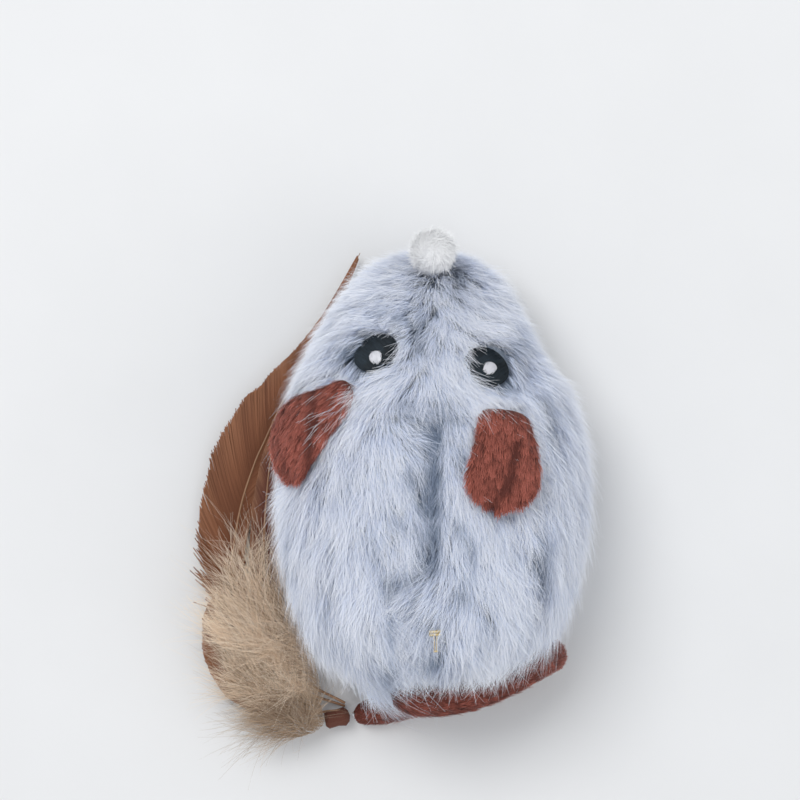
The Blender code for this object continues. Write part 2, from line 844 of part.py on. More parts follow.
def gear_outline(teeth, turn, stations):
    """Involute teeth, each flank in straight steps, with one tooth's middle pointing along the given turn."""
    pitch = gear_module * teeth / 2
    base = pitch * math.cos(pressure_angle)
    tip = pitch + gear_module * addendum_share
    foot = pitch - gear_module * dedendum_share
    half_tooth = (math.pi * gear_module - tooth_backlash) / 4 / pitch
    start = max(foot, base)
    flank = []
    for radius in [foot] + [start + (tip - start) * step / stations for step in range(1, stations + 1)]:
        spread = half_tooth + involute(pitch, base) - involute(max(radius, base), base)
        flank.append((radius, spread))
    outline = []
    for tooth in range(teeth):
        middle = turn + math.tau * tooth / teeth
        sides = [(radius, middle - spread) for radius, spread in flank]
        sides += [(radius, middle + spread) for radius, spread in reversed(flank)]
        outline += [(radius * math.cos(angle), radius * math.sin(angle)) for radius, angle in sides]
    return outline


def meshed_turn(direction, teeth):
    """A gear's turn that puts a gap, not a tooth, on the side that faces back along a direction."""
    return direction + math.pi + math.pi / teeth


to_idler = math.atan2(idler_level - motor_level, idler_y - motor_y)
to_final = math.atan2(axle_level - idler_level, axle_y - idler_y)
quarter_x = Vector((1, 0, 0)).to_track_quat("Z", "Y")


def span(side, start, length):
    """The two ends along X of a piece that starts this far from the middle, lowest first."""
    return sorted((side * start, side * (start + length)))


def gear_pieces(side, hand):
    teeth = gear_outline(pinion_teeth, to_idler, small_flank_steps)
    bore = circle(motor_shaft_radius + fit_gap)
    mesh = extruded_mesh("pinion", [teeth, bore], *span(side, plane_b_x, gear_width))
    add_piece(f"{hand}_motor_pinion", mesh, gear_plastic, (0, motor_y, motor_level))
    shaft_start = motor_middle_gap + motor_length - motor_shaft_depth + fit_gap
    shaft_end = plane_b_x + gear_width + fit_gap
    shaft = [(motor_shaft_radius, (side * shaft_start, 0, 0), (side * shaft_end, 0, 0))]
    mesh = rod_mesh("shaft", shaft, small_sides)
    add_piece(f"{hand}_motor_shaft", mesh, steel, (0, motor_y, motor_level))

    small = gear_outline(idler_small_teeth, to_final, small_flank_steps)
    ends = span(side, plane_a_x, plane_b_x - plane_a_x + gear_width / 2)
    mesh = extruded_mesh("idler_small", [small], *ends)
    idler = add_piece(f"{hand}_idler_gear", mesh, gear_plastic, (0, idler_y, idler_level))
    large = gear_outline(idler_large_teeth, meshed_turn(to_idler, idler_large_teeth), large_flank_steps)
    mesh = extruded_mesh("idler_large", [large], *span(side, plane_b_x, gear_width))
    boolean(idler, add_cutter(f"{hand}_idler_large", mesh, idler.location), "UNION")
    ends = span(side, case_x, gear_cover_x - case_x)
    bore = [(idler_pin_radius + fit_gap, (ends[0], 0, 0), (ends[1], 0, 0))]
    boolean(idler, add_cutter(f"{hand}_idler_bore", rod_mesh("bore", bore), idler.location), "DIFFERENCE")
    ends = span(side, case_x + fit_gap, gear_cover_x + plate_thickness - case_x - fit_gap * 2)
    mesh = rod_mesh("pin", [(idler_pin_radius, (ends[0], 0, 0), (ends[1], 0, 0))], small_sides)
    add_piece(f"{hand}_idler_pin", mesh, steel, idler.location)

    teeth = gear_outline(final_teeth, meshed_turn(to_final, final_teeth), large_flank_steps)
    bore = circle(axle_radius + fit_gap)
    mesh = extruded_mesh("final", [teeth, bore], *span(side, plane_a_x, gear_width))
    add_piece(f"{hand}_final_gear", mesh, gear_plastic, (0, axle_y, axle_level))
    ends = span(side, case_x, wheel_x + wheel_width - hub_face_step - case_x)
    mesh = rod_mesh("axle", [(axle_radius, (ends[0], 0, 0), (ends[1], 0, 0))], small_sides)
    add_piece(f"{hand}_axle", mesh, steel, (0, axle_y, axle_level))


def motor_outline(gap=0.0):
    """A round can with two flats, front and back."""
    flat = motor_flat / 2 + gap
    radius = motor_across / 2 + gap
    turn = math.acos(flat / radius)
    top = circle(radius, sides=corner_sides, start=turn, end=math.pi - turn)
    bottom = circle(radius, sides=corner_sides, start=math.pi + turn, end=math.tau - turn)
    return top + bottom


def motor_piece(side, hand):
    place = Vector((0, motor_y, motor_level))
    mesh = extruded_mesh("can", [motor_outline()], *span(side, motor_middle_gap, motor_length))
    motor = add_piece(f"{hand}_motor", mesh, can_steel, place)
    face = motor_middle_gap + motor_length
    boss_ends = (side * (face - plate_thickness), 0, 0), (side * (face + motor_boss_length), 0, 0)
    boss = rod_mesh("boss", [(motor_boss_radius, *boss_ends)])
    boolean(motor, add_cutter(f"{hand}_motor_boss", boss, place), "UNION")
    bore_ends = (side * (face - motor_shaft_depth), 0, 0), (side * (face + overrun), 0, 0)
    bore = rod_mesh("bore", [(motor_shaft_radius + fit_gap, *bore_ends)])
    boolean(motor, add_cutter(f"{hand}_motor_bore", bore, place), "DIFFERENCE")


def gearbox_pieces(side, hand):
    final_reach = gear_module * (final_teeth / 2 + addendum_share)
    idler_reach = gear_module * (idler_large_teeth / 2 + addendum_share)
    lug_reach = pillar_radius + pillar_gap
    axle_place = Vector((axle_y, axle_level))
    idler_place = Vector((idler_y, idler_level))
    motor_place = Vector((motor_y, motor_level))
    lugs = []
    for place, reach, turn in (
        (axle_place, final_reach + lug_reach, math.radians(34)),
        (idler_place, idler_reach + lug_reach, math.radians(95)),
        (idler_place, idler_reach + lug_reach, math.radians(-90)),
        (motor_place, motor_across / 2 + lug_reach, math.radians(180)),
    ):
        lugs.append(place + Vector((math.cos(turn), math.sin(turn))) * reach)
    points = circle(final_reach + plate_rim / 2, axle_place, round_sides)
    points += circle(motor_across / 2 + rest_gap + plate_rim, motor_place, round_sides)
    for lug in lugs:
        points += circle(lug_radius, lug)
    plate = hull_outline(points)
    pin_hole = circle(idler_pin_radius + fit_gap, idler_place)
    axle_hole = circle(axle_radius + fit_gap, axle_place)
    can_hole = [(y + motor_y, z + motor_level) for y, z in motor_outline(rest_gap)]
    mesh = extruded_mesh("case", [plate, pin_hole, axle_hole, can_hole], *span(side, case_x, plate_thickness))
    case = add_piece(f"{hand}_gearbox_case", mesh, case_plastic)
    start, end = side * (case_x + plate_thickness / 2), side * (gear_cover_x - rest_gap)
    pillars = rod_mesh("pillars", [(pillar_radius, (start, *lug), (end, *lug)) for lug in lugs], small_sides)
    boolean(case, add_cutter(f"{hand}_pillars", pillars), "UNION")
    shaft_hole = circle(motor_boss_radius / 2, motor_place)
    outlines = [plate, pin_hole, axle_hole, shaft_hole]
    mesh = extruded_mesh("cover", outlines, *span(side, gear_cover_x, plate_thickness))
    add_piece(f"{hand}_gearbox_cover", mesh, case_plastic)


# Driven wheels


def wheel_pieces(side, hand):
    place = Vector((0, axle_y, axle_level))
    hub_radius = wheel_radius - tyre_thickness
    outline = []
    pitch = math.tau / tread_count
    for tread in range(tread_count):
        middle = -math.pi / 2 + tread * pitch
        for turn, radius in (
            (-pitch * tread_foot_share, wheel_radius - tread_depth),
            (-pitch * tread_top_share, wheel_radius),
            (pitch * tread_top_share, wheel_radius),
            (pitch * tread_foot_share, wheel_radius - tread_depth),
        ):
            outline.append((radius * math.cos(middle + turn), radius * math.sin(middle + turn)))
    bore = circle(hub_radius + rest_gap, sides=wheel_sides)
    mesh = extruded_mesh("tyre", [outline, bore], *span(side, wheel_x, wheel_width))
    add_piece(f"{hand}_tyre", mesh, rubber, place)

    rim_inside = hub_radius - hub_rim
    web_low = (wheel_width - hub_web) / 2
    web_high = web_low + hub_web
    axle_bore = axle_radius + fit_gap
    profile = (
        (hub_radius, wheel_width),
        (hub_radius, 0),
        (rim_inside, 0),
        (rim_inside, web_low),
        (hub_boss_radius, web_low),
        (hub_boss_radius, 0),
        (axle_bore, 0),
        (axle_bore, wheel_width - hub_face_step),
        (hub_boss_radius, wheel_width - hub_face_step),
        (hub_boss_radius, web_high),
        (rim_inside, web_high),
        (rim_inside, wheel_width),
    )
    outward = Vector((side, 0, 0))
    turn = outward.to_track_quat("Z", "Y")
    hub = turned_piece(f"{hand}_wheel_hub", profile, wheel_plastic, place, turn, wheel_sides)
    hub.data.transform(Matrix.Translation((0, 0, wheel_x)))


# Caster


def caster_pieces():
    pivot = Vector((0, caster_y, 0))
    pin_place = Vector((0, caster_y + caster_trail, caster_wheel_level))
    plate_top = fork_plate_level + fork_plate_thickness
    head_low = cup_level + caster_boss_height + rest_gap
    steps = [
        (fork_plate_radius, fork_plate_level, plate_top),
        (stem_radius, plate_top, head_low),
        (stem_head_radius, head_low, head_low + stem_head_height),
    ]
    fork = add_piece("caster_fork", stepped_rod("caster_fork", (0, 0), steps), case_plastic, pivot)
    cheek_start = caster_width / 2 + cheek_gap
    eye = circle(caster_eye_radius, (caster_trail, caster_wheel_level))
    shoulder_level = fork_plate_level + fork_plate_thickness / 2
    shoulders = [(-caster_eye_radius, shoulder_level), (caster_trail + caster_shoulder, shoulder_level)]
    cheek = hull_outline(eye + shoulders)
    hole = circle(caster_pin_radius + fit_gap, (caster_trail, caster_wheel_level))
    for side in (-1, 1):
        mesh = extruded_mesh("cheek", [cheek, hole], *span(side, cheek_start, cheek_thickness))
        boolean(fork, add_cutter(f"cheek_{side + 1}", mesh, pivot), "UNION")
    bore = caster_pin_radius + fit_gap
    half = caster_width / 2
    profile = (
        (caster_radius - caster_rim, half),
        (caster_radius, half - caster_rim * 2),
        (caster_radius, caster_rim * 2 - half),
        (caster_radius - caster_rim, -half),
        (bore, -half),
        (bore, half),
    )
    turned_piece("caster_wheel", profile, wheel_plastic, pin_place, quarter_x)
    reach = cheek_start + cheek_thickness
    pin = rod_mesh("pin", [(caster_pin_radius, (-reach, 0, 0), (reach, 0, 0))], small_sides)
    add_piece("caster_pin", pin, steel, pin_place)


# Battery, board and what is on it


def electronics():
    half = battery_size / 2
    low = motor_level + motor_across / 2 + rest_gap
    centre = Vector((0, station(battery_station), low + half.z))
    battery = add_piece("battery", box_mesh("battery", [(-half, half)]), battery_foil, centre)
    rounding = battery.modifiers.new("rounding", "BEVEL")
    rounding.width = battery_rounding
    rounding.segments = 2
    rounding.limit_method = "ANGLE"

    half = board_size / 2
    middle = Vector((0, board_y, board_level + half.z))
    add_piece("circuit_board", box_mesh("circuit_board", [(middle - half, middle + half)]), board_green)
    half = chip_size / 2
    middle = Vector((0, board_y, board_level + board_size.z + rest_gap + half.z))
    add_piece("control_chip", box_mesh("control_chip", [(middle - half, middle + half)]), chip_black)

    under = board_level - rest_gap
    mouth = skin_bottom(socket_x, socket_y, shell_inset) + rest_gap
    low = Vector((-socket_size.x / 2, -socket_size.y / 2, mouth))
    high = Vector((socket_size.x / 2, socket_size.y / 2, under))
    place = Vector((socket_x, socket_y, 0))
    socket = add_piece("usb_socket", box_mesh("usb_socket", [(low, high)]), steel, place)
    wall = Vector((socket_wall, socket_wall, 0))
    hollow_low = low + wall - Vector((0, 0, overrun))
    hollow_high = Vector((high.x - wall.x, high.y - wall.y, mouth + socket_mouth_depth))
    hollow = add_cutter("socket_mouth", box_mesh("hollow", [(hollow_low, hollow_high)]), place)
    boolean(socket, hollow, "DIFFERENCE")
    tongue_low = Vector((-tongue_size.x / 2, -tongue_size.y / 2, mouth + socket_wall))
    tongue_high = Vector((tongue_size.x / 2, tongue_size.y / 2, under - socket_wall))
    tongue = add_cutter("socket_tongue", box_mesh("tongue", [(tongue_low, tongue_high)]), place)
    boolean(socket, tongue, "UNION")

    lens_low = skin_bottom(0, led_y, shell_inset) + rest_gap
    lens = rod_mesh("indicator_led", [(led_radius, (0, led_y, lens_low), (0, led_y, under))], small_sides)
    add_piece("indicator_led", lens, lens_clear)

    place = Vector((switch_x, switch_y, 0))
    body_low = under - switch_size.z
    low = Vector((-switch_size.x / 2, -switch_size.y / 2, body_low))
    high = Vector((switch_size.x / 2, switch_size.y / 2, under))
    body = add_piece("switch_body", box_mesh("switch_body", [(low, high)]), chip_black, place)
    reach = Vector((slider_size.x / 2 + slider_travel / 2 + rest_gap, slider_size.y / 2 + rest_gap, 0))
    slot_low = Vector((-reach.x, -reach.y, body_low - overrun))
    slot_high = Vector((reach.x, reach.y, body_low + slider_depth))
    boolean(body, add_cutter("switch_slot", box_mesh("slot", [(slot_low, slot_high)]), place), "DIFFERENCE")
    knob_low = skin_bottom(switch_x, switch_y, shell_inset) - slider_reach
    half = slider_size / 2
    low = Vector((-half.x, -half.y, knob_low))
    high = Vector((half.x, half.y, body_low + slider_depth - rest_gap))
    start = place - Vector((slider_travel / 2, 0, 0))
    add_piece("switch_slider", box_mesh("switch_slider", [(low, high)]), gear_plastic, start)


# Tail


def tail_pieces():
    seat, outward, leaves = tail_root()
    wire_bore = tail_wire_radius + fit_gap
    flange_top = -shell_wall - anchor_seat_gap
    neck = min(anchor_outside, (leaves - seat).length)
    profile = (
        (anchor_radius, neck),
        (anchor_radius, flange_top),
        (anchor_flange_radius, flange_top),
        (anchor_flange_radius, flange_top - anchor_flange_thickness),
        (wire_bore, flange_top - anchor_flange_thickness),
        (wire_bore, neck),
    )
    turned_piece("tail_anchor", profile, case_plastic, seat, outward.to_track_quat("Z", "Y"))

    points = tail_points()
    count = len(points)
    shares = []
    for k in range(count):
        to_end = min(k + 1, count - k, tail_round_stations) / tail_round_stations
        shares.append(tail_tip_radius / tail_radius + (1 - tail_tip_radius / tail_radius) * math.sqrt(to_end))
    sleeve = add_piece("tail_sleeve", tube_mesh("tail_sleeve", points, tail_radius, shares), russet_plush)
    ahead = points[-1] - points[-2]
    past = [points[0] - outward * overrun] + points + [points[-1] + ahead.normalized() * overrun]
    bore = tube_mesh("sleeve_bore", past, wire_bore, resolution=1)
    boolean(sleeve, add_cutter("sleeve_bore", bore), "DIFFERENCE")
    wire = [seat - outward * (shell_wall + anchor_seat_gap + anchor_flange_thickness)] + points
    add_piece("tail_wire", tube_mesh("tail_wire", wire, tail_wire_radius, None, 1), steel)


# Feather tuft


def ribbon_mesh(name, points, half_widths, half_heights, sides=ribbon_sides):
    """A flat or plump strip: an oval section carried along points, level from side to side."""
    rows = []
    last = len(points) - 1
    for k, point in enumerate(points):
        ahead = (points[min(k + 1, last)] - points[max(k - 1, 0)]).normalized()
        across = ahead.cross(Vector((0, 0, 1))).normalized()
        up = across.cross(ahead)
        row = []
        for side in range(sides):
            turn = math.tau * side / sides
            reach = across * half_widths[k] * math.cos(turn) + up * half_heights[k] * math.sin(turn)
            row.append(point + reach)
        rows.append(row)
    return loft_mesh(name, rows)


def tuft_route(start, shares, level, count):
    """From a quill at the binding, out along the ground at one level."""
    points = [Vector((x * body_width / 2, nose_y + y * body_length, level)) for x, y in shares]
    return smooth_route([start] + points, count)


def size_at(table, place):
    for (start, low), (end, high) in zip(table, table[1:]):
        if place <= end:
            return low + (high - low) * (place - start) / (end - start)
    return table[-1][1]


def tuft_pieces():
    points = tail_points()
    ahead = (points[-1] - points[-2]).normalized()
    pivot = points[-1] + ahead * tuft_gap / 2
    start = tuft_gap / 2
    radius = binding_radius
    end = start + binding_length
    profile = [(radius * out, start + binding_length * along) for out, along in binding_profile_shares]
    turned_piece("tuft_binding", profile, hem_tape, pivot, ahead.to_track_quat("Z", "Y"), small_sides)

    quills = pivot + ahead * (end + rest_gap)
    across = ahead.cross(Vector((0, 0, 1)))
    beside = across * quill_spread
    below = Vector((0, 0, -broad_quill_drop))
    broad = broad_route_shares, broad_level, broad_half_width, broad_stations
    narrow = narrow_route_shares, narrow_level, narrow_half_width, narrow_stations
    short = short_route_shares, narrow_level, short_half_width, short_stations
    for name, start, (shares, level, half_width, count), material in (
        ("feather_broad", quills + below, broad, feather_tan),
        ("feather_narrow", quills + beside, narrow, feather_dark),
        ("feather_short", quills - beside, short, feather_tan),
    ):
        route = tuft_route(start, shares, level, count)
        sizes = [size_at(feather_size_shares, k / (count - 1)) for k in range(count)]
        widths = [half_width * size for size in sizes]
        heights = [feather_thickness / 2 for _ in sizes]
        mesh = ribbon_mesh(name, [point - pivot for point in route], widths, heights)
        add_piece(name, mesh, material, pivot)

    count = down_stations
    level = narrow_level + feather_thickness / 2 + rest_gap + down_height / 2
    route = tuft_route(quills + Vector((0, 0, down_stalk_rise)), down_route_shares, level, count)
    table = [(k / (len(down_size_shares) - 1), size) for k, size in enumerate(down_size_shares)]
    sizes = [size_at(table, k / (count - 1)) for k in range(count)]
    widths = [down_half_width * size for size in sizes]
    heights = [down_height / 2 * math.sqrt(size) for size in sizes]
    mesh = ribbon_mesh("down_tuft", [point - pivot for point in route], widths, heights, down_sides)
    add_piece("down_tuft", mesh, down_cream, pivot)


# Face and ears


def tangent_frame(x, y, turn):
    """A place on the plush above (x, y), its normal, and two directions along it, one turned from +Y."""
    place = Vector((x, y, skin_top(x, y)))
    normal = skin_normal(place, 0.0)
    back = Vector((0, 1, 0))
    ahead = (back - normal * back.dot(normal)).normalized()
    ahead.rotate(Matrix.Rotation(turn, 3, normal))
    return place, normal, ahead, normal.cross(ahead)


def patch_mesh(name, frame, outline, thickness, gap, lift=None, rings=pad_rings):
    """A soft pad that follows the plush: an outline in the tangent frame, laid onto the skin."""
    place, normal, ahead, across = frame

    def raised(u, v, height):
        spot = onto_skin(place + ahead * u + across * v, normal)
        more = lift(u, v) if lift else 0
        return spot + skin_normal(spot, 0.0) * (gap + more + height)

    middle_u = sum(u for u, v in outline) / len(outline)
    middle_v = sum(v for u, v in outline) / len(outline)

    def ring_at(share, height):
        row = []
        for u, v in outline:
            row.append(raised(middle_u + (u - middle_u) * share, middle_v + (v - middle_v) * share, height))
        return row

    rows = [[raised(middle_u, middle_v, 0)]]
    for ring in range(1, rings + 1):
        rows.append(ring_at(ring / rings, 0))
    for ring in range(rings, 0, -1):
        share = ring / rings
        rows.append(ring_at(share, thickness * math.sqrt(1 - (share * pad_crown_share) ** 2)))
    rows.append([raised(middle_u, middle_v, thickness)])
    return loft_mesh(name, rows)


def oval(length, width, sides):
    return [(u * length / 2, v * width / 2) for u, v in circle(1, sides=sides)]


def face_pieces():
    for hand, share, back, turn, toward in (
        ("left", left_eye_share, left_eye_station, left_eye_turn, 1),
        ("right", right_eye_share, right_eye_station, right_eye_turn, -1),
    ):
        x, y = body_width / 2 * share, station(back)
        frame = tangent_frame(x, y, turn)
        outline = oval(eye_length, eye_width, eye_sides)
        mesh = patch_mesh(f"{hand}_eye", frame, outline, eye_thickness, patch_gap)
        add_piece(f"{hand}_eye", mesh, black_thread)
        frame = tangent_frame(x + toward * pupil_shift, y + pupil_back, turn)
        gap = patch_gap * 2 + eye_thickness
        outline = oval(pupil_length, pupil_width, pupil_sides)
        mesh = patch_mesh(f"{hand}_pupil", frame, outline, pupil_thickness, gap, rings=pad_rings - 1)
        add_piece(f"{hand}_pupil", mesh, white_thread)

    bm = bmesh.new()
    bmesh.ops.create_icosphere(bm, subdivisions=2, radius=1, matrix=Matrix.Diagonal((*pompom_radii, 1)))
    forward = Vector((0, -math.cos(pompom_turn), math.sin(pompom_turn)))
    seat = onto_skin(Vector((0, nose_y + pompom_start, widest_level)), forward)
    centre = seat + skin_normal(seat, 0.0) * (pompom_radii.z + rest_gap)
    add_piece("nose_pompom", mesh_from(bm, "nose_pompom"), white_plush, centre)


def ear_outline(table, width):
    """Round an ear, from (along, reach to one side, reach to the other side) shares, root first."""
    near = [(ear_length * along, -width * low) for along, low, high in table]
    far = [(ear_length * along, width * high) for along, low, high in reversed(table)]
    return near + far


def ear_piece(hand, share, back, turn, width, table, crease_shares):
    """An ear laid back on the plush, raised towards its free edge, with one long crease."""
    frame = tangent_frame(body_width / 2 * share, station(back), turn)
    crease_start, crease_end = crease_shares

    def lift(u, v):
        along = u / ear_length
        crease_at = width * (crease_start + (crease_end - crease_start) * along)
        crease = ear_crease * along * math.exp(-((v - crease_at) / ear_crease_width) ** 2)
        return ear_lift * along ** 2 + ear_cup * (v / width) ** 2 * along + ear_crease * along - crease

    outline = ear_outline(table, width)
    mesh = patch_mesh(f"{hand}_ear", frame, outline, ear_thickness, patch_gap, lift)
    place, normal, ahead, across = frame
    pivot = place + normal * patch_gap
    mesh.transform(Matrix.Translation(-pivot))
    add_piece(f"{hand}_ear", mesh, russet_plush, pivot)


def stand_on_origin():
    """Moves everything together so that the box is centred over the origin and stands on z = 0."""
    bpy.context.view_layer.update()
    graph = bpy.context.evaluated_depsgraph_get()
    corners = []
    for piece in toy.objects:
        if piece.type == "MESH":
            ready = piece.evaluated_get(graph)
            corners += [ready.matrix_world @ Vector(corner) for corner in ready.bound_box]
    low = Vector([min(corner[axis] for corner in corners) for axis in range(3)])
    high = Vector([max(corner[axis] for corner in corners) for axis in range(3)])
    root.location = -(low.x + high.x) / 2, -(low.y + high.y) / 2, -low.z


plush_pieces()
shell_pieces()
case_screws()
for side, hand in ((1, "left"), (-1, "right")):
    gear_pieces(side, hand)
    motor_piece(side, hand)
    gearbox_pieces(side, hand)
    wheel_pieces(side, hand)
caster_pieces()
electronics()
tail_pieces()
tuft_pieces()
face_pieces()
ear_piece(
    "left", left_ear_share, left_ear_station, left_ear_turn, left_ear_width, left_ear_shares,
    left_crease_shares,
)
ear_piece(
    "right", right_ear_share, right_ear_station, right_ear_turn, right_ear_width, right_ear_shares,
    right_crease_shares,
)
stand_on_origin()
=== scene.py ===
"""A robotic mouse for cats, lying on a pale table and seen from straight above."""

import json
import math

import bmesh
import bpy
import numpy as np
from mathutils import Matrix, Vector, noise


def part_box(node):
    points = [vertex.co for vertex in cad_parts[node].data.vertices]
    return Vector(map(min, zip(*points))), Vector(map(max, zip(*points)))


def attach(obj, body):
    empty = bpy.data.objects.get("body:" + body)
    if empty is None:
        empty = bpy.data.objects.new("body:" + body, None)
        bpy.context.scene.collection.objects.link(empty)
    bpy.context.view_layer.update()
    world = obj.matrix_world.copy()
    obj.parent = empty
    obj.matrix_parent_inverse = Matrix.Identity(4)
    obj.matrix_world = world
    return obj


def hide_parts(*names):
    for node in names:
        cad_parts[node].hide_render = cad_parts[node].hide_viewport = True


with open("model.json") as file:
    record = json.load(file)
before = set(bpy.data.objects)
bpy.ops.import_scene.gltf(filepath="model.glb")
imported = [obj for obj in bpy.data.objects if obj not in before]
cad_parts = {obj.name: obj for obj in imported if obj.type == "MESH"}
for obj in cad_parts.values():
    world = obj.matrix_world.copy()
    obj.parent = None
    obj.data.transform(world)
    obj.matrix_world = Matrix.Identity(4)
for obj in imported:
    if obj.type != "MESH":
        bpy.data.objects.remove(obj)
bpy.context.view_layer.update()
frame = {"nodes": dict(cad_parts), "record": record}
nodes = frame["nodes"]
mm = 0.001

# Camera, table and light
# The mouse is seen from straight above, nose away from the viewer, from 700 mm over the table.
# The middle of the body and the wheels' axle give the place of the camera, so it keeps to the part.

camera_height = 0.700
focal_pixels = 3172
picture_pixels = 800
camera_beside_body = 6.95 * mm
camera_before_axle = 21.8 * mm


def middle(node):
    low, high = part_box(node)
    return (low + high) / 2


body_x = middle("plush_cover").x
axle_y = middle("left_axle").y
camera_x = body_x + camera_beside_body
camera_y = axle_y - camera_before_axle


def below_picture(px, py, z):
    """The place at a level that lies under a point of the picture."""
    size = (camera_height - z) / focal_pixels
    half = picture_pixels / 2
    return Vector((camera_x - (px - half) * size, camera_y + (py - half) * size, z))


camera_data = bpy.data.cameras.new("camera")
camera_data.sensor_width = 36
camera_data.lens = camera_data.sensor_width * focal_pixels / picture_pixels
camera_data.clip_end = 10
camera = bpy.data.objects.new("camera", camera_data)
camera.location = camera_x, camera_y, camera_height
camera.rotation_euler = 0, 0, math.pi
bpy.context.scene.collection.objects.link(camera)
bpy.context.scene.camera = camera


class Value:
    """A socket of a finish or a geometry tree, so that sums on it are written as Python."""

    def __init__(self, graph, socket):
        self.graph, self.socket = graph, socket

    def also(self, name):
        return Value(self.graph, self.socket.node.outputs[name])

    def joined(self, operation, other, swapped=False):
        pair = (other, self) if swapped else (self, other)
        kinds = [getattr(getattr(v, "socket", None), "type", "") for v in pair]
        vectors = [isinstance(v, (tuple, Vector)) or kind == "VECTOR" for v, kind in zip(pair, kinds)]
        if not any(vectors):
            return self.graph.node("ShaderNodeMath", {"operation": operation}, {0: pair[0], 1: pair[1]})
        if operation == "MULTIPLY" and not all(vectors):
            arrow, size = pair if vectors[0] else pair[::-1]
            return self.graph.node("ShaderNodeVectorMath", {"operation": "SCALE"}, {0: arrow, 3: size})
        return self.graph.node("ShaderNodeVectorMath", {"operation": operation}, {0: pair[0], 1: pair[1]})

    def __add__(self, other): return self.joined("ADD", other)
    def __radd__(self, other): return self.joined("ADD", other, True)
    def __sub__(self, other): return self.joined("SUBTRACT", other)
    def __rsub__(self, other): return self.joined("SUBTRACT", other, True)
    def __mul__(self, other): return self.joined("MULTIPLY", other)
    def __rmul__(self, other): return self.joined("MULTIPLY", other, True)
    def __truediv__(self, other): return self.joined("DIVIDE", other)
    def __pow__(self, other): return self.joined("POWER", other)
    def cross(self, other): return self.joined("CROSS_PRODUCT", other)
    def clamped(self): return self.graph.node("ShaderNodeClamp", {}, {0: self})

    def dot(self, other):
        return self.graph.node("ShaderNodeVectorMath", {"operation": "DOT_PRODUCT"}, {0: self, 1: other}, "Value")

    def unit(self):
        return self.graph.node("ShaderNodeVectorMath", {"operation": "NORMALIZE"}, {0: self})

    def after(self, operation, other=None):
        """The result of one of the Math node's other operations."""
        sockets = {0: self} if other is None else {0: self, 1: other}
        return self.graph.node("ShaderNodeMath", {"operation": operation}, sockets)

    def split(self):
        """The X, Y and Z parts of a vector."""
        parts = self.graph.node("ShaderNodeSeparateXYZ", {}, {0: self})
        return parts, parts.also("Y"), parts.also("Z")


class Graph:
    """A node tree that is filled by one method."""

    def __init__(self, tree):
        self.tree = tree

    def node(self, kind, settings=None, sockets=None, output=None):
        made = self.tree.nodes.new(kind)
        for name, setting in (settings or {}).items():
            if name == "stops":
                self.set_stops(made.color_ramp, setting)
            else:
                setattr(made, name, setting)
        for key, value in (sockets or {}).items():
            if isinstance(key, int):
                socket = made.inputs[key]
            else:
                socket = next(s for s in made.inputs if s.name == key and s.enabled)
            if isinstance(value, Value):
                self.tree.links.new(value.socket, socket)
            else:
                socket.default_value = value
        if not made.outputs:
            return made
        if output is None:
            return Value(self, next(s for s in made.outputs if s.enabled))
        return Value(self, next(s for s in made.outputs if s.name == output and s.enabled))

    def set_stops(self, ramp, stops):
        while len(ramp.elements) < len(stops):
            ramp.elements.new(0.5)
        for element, (place, color) in zip(ramp.elements, stops):
            element.position = place
            element.color = (*color, 1)


class Finish(Graph):
    """A material for one kind of surface."""

    def __init__(self, name, roughness=0.6, metallic=0.0, **constants):
        self.material = bpy.data.materials.new(name)
        self.material.use_nodes = True
        super().__init__(self.material.node_tree)
        self.tree.nodes.clear()
        out = self.tree.nodes.new("ShaderNodeOutputMaterial")
        self.shader = self.tree.nodes.new("ShaderNodeBsdfPrincipled")
        self.tree.links.new(self.shader.outputs[0], out.inputs[0])
        self.give("Roughness", roughness)
        self.give("Metallic", metallic)
        for socket, value in constants.items():
            self.give(socket.replace("_", " "), value)

    def give(self, socket, value):
        if isinstance(value, Value):
            self.tree.links.new(value.socket, self.shader.inputs[socket])
        elif isinstance(value, tuple) and len(value) == 3:
            self.shader.inputs[socket].default_value = (*value, 1)
        else:
            self.shader.inputs[socket].default_value = value

    def place(self, stretch=(1, 1, 1)):
        here = self.node("ShaderNodeTexCoord", output="Object")
        return self.node("ShaderNodeMapping", {}, {"Vector": here, "Scale": stretch})

    def noise(self, scale, detail=3.0, roughness=0.55, at=None):
        sockets = {"Vector": at or self.place(), "Scale": scale, "Detail": detail, "Roughness": roughness}
        return self.node("ShaderNodeTexNoise", {}, sockets, "Fac")

    def ramp(self, value, *stops):
        return self.node("ShaderNodeValToRGB", {"stops": stops}, {0: value}, "Color")

    def level(self, value, low, high, low_to, high_to):
        return self.node("ShaderNodeMapRange", {}, {0: value, 1: low, 2: high, 3: low_to, 4: high_to})

    def mixed(self, share, first, second):
        first, second = [(*c, 1) if isinstance(c, tuple) else c for c in (first, second)]
        made = self.node("ShaderNodeMix", {"data_type": "RGBA"}, {0: share, 6: first, 7: second})
        return Value(self, made.socket.node.outputs[2])

    def bumps(self, height, depth, strength=1.0):
        return self.node("ShaderNodeBump", {}, {"Height": height, "Distance": depth, "Strength": strength}, "Normal")


def new_object(name, mesh, material=None):
    piece = bpy.data.objects.new(name, mesh)
    bpy.context.scene.collection.objects.link(piece)
    if material is not None:
        piece.data.materials.clear()
        piece.data.materials.append(material)
    return piece


def new_mesh(name, points, faces, smooth=True):
    mesh = bpy.data.meshes.new(name)
    mesh.from_pydata([tuple(p) for p in points], [], faces)
    mesh.validate()
    if smooth:
        mesh.shade_smooth()
    return mesh


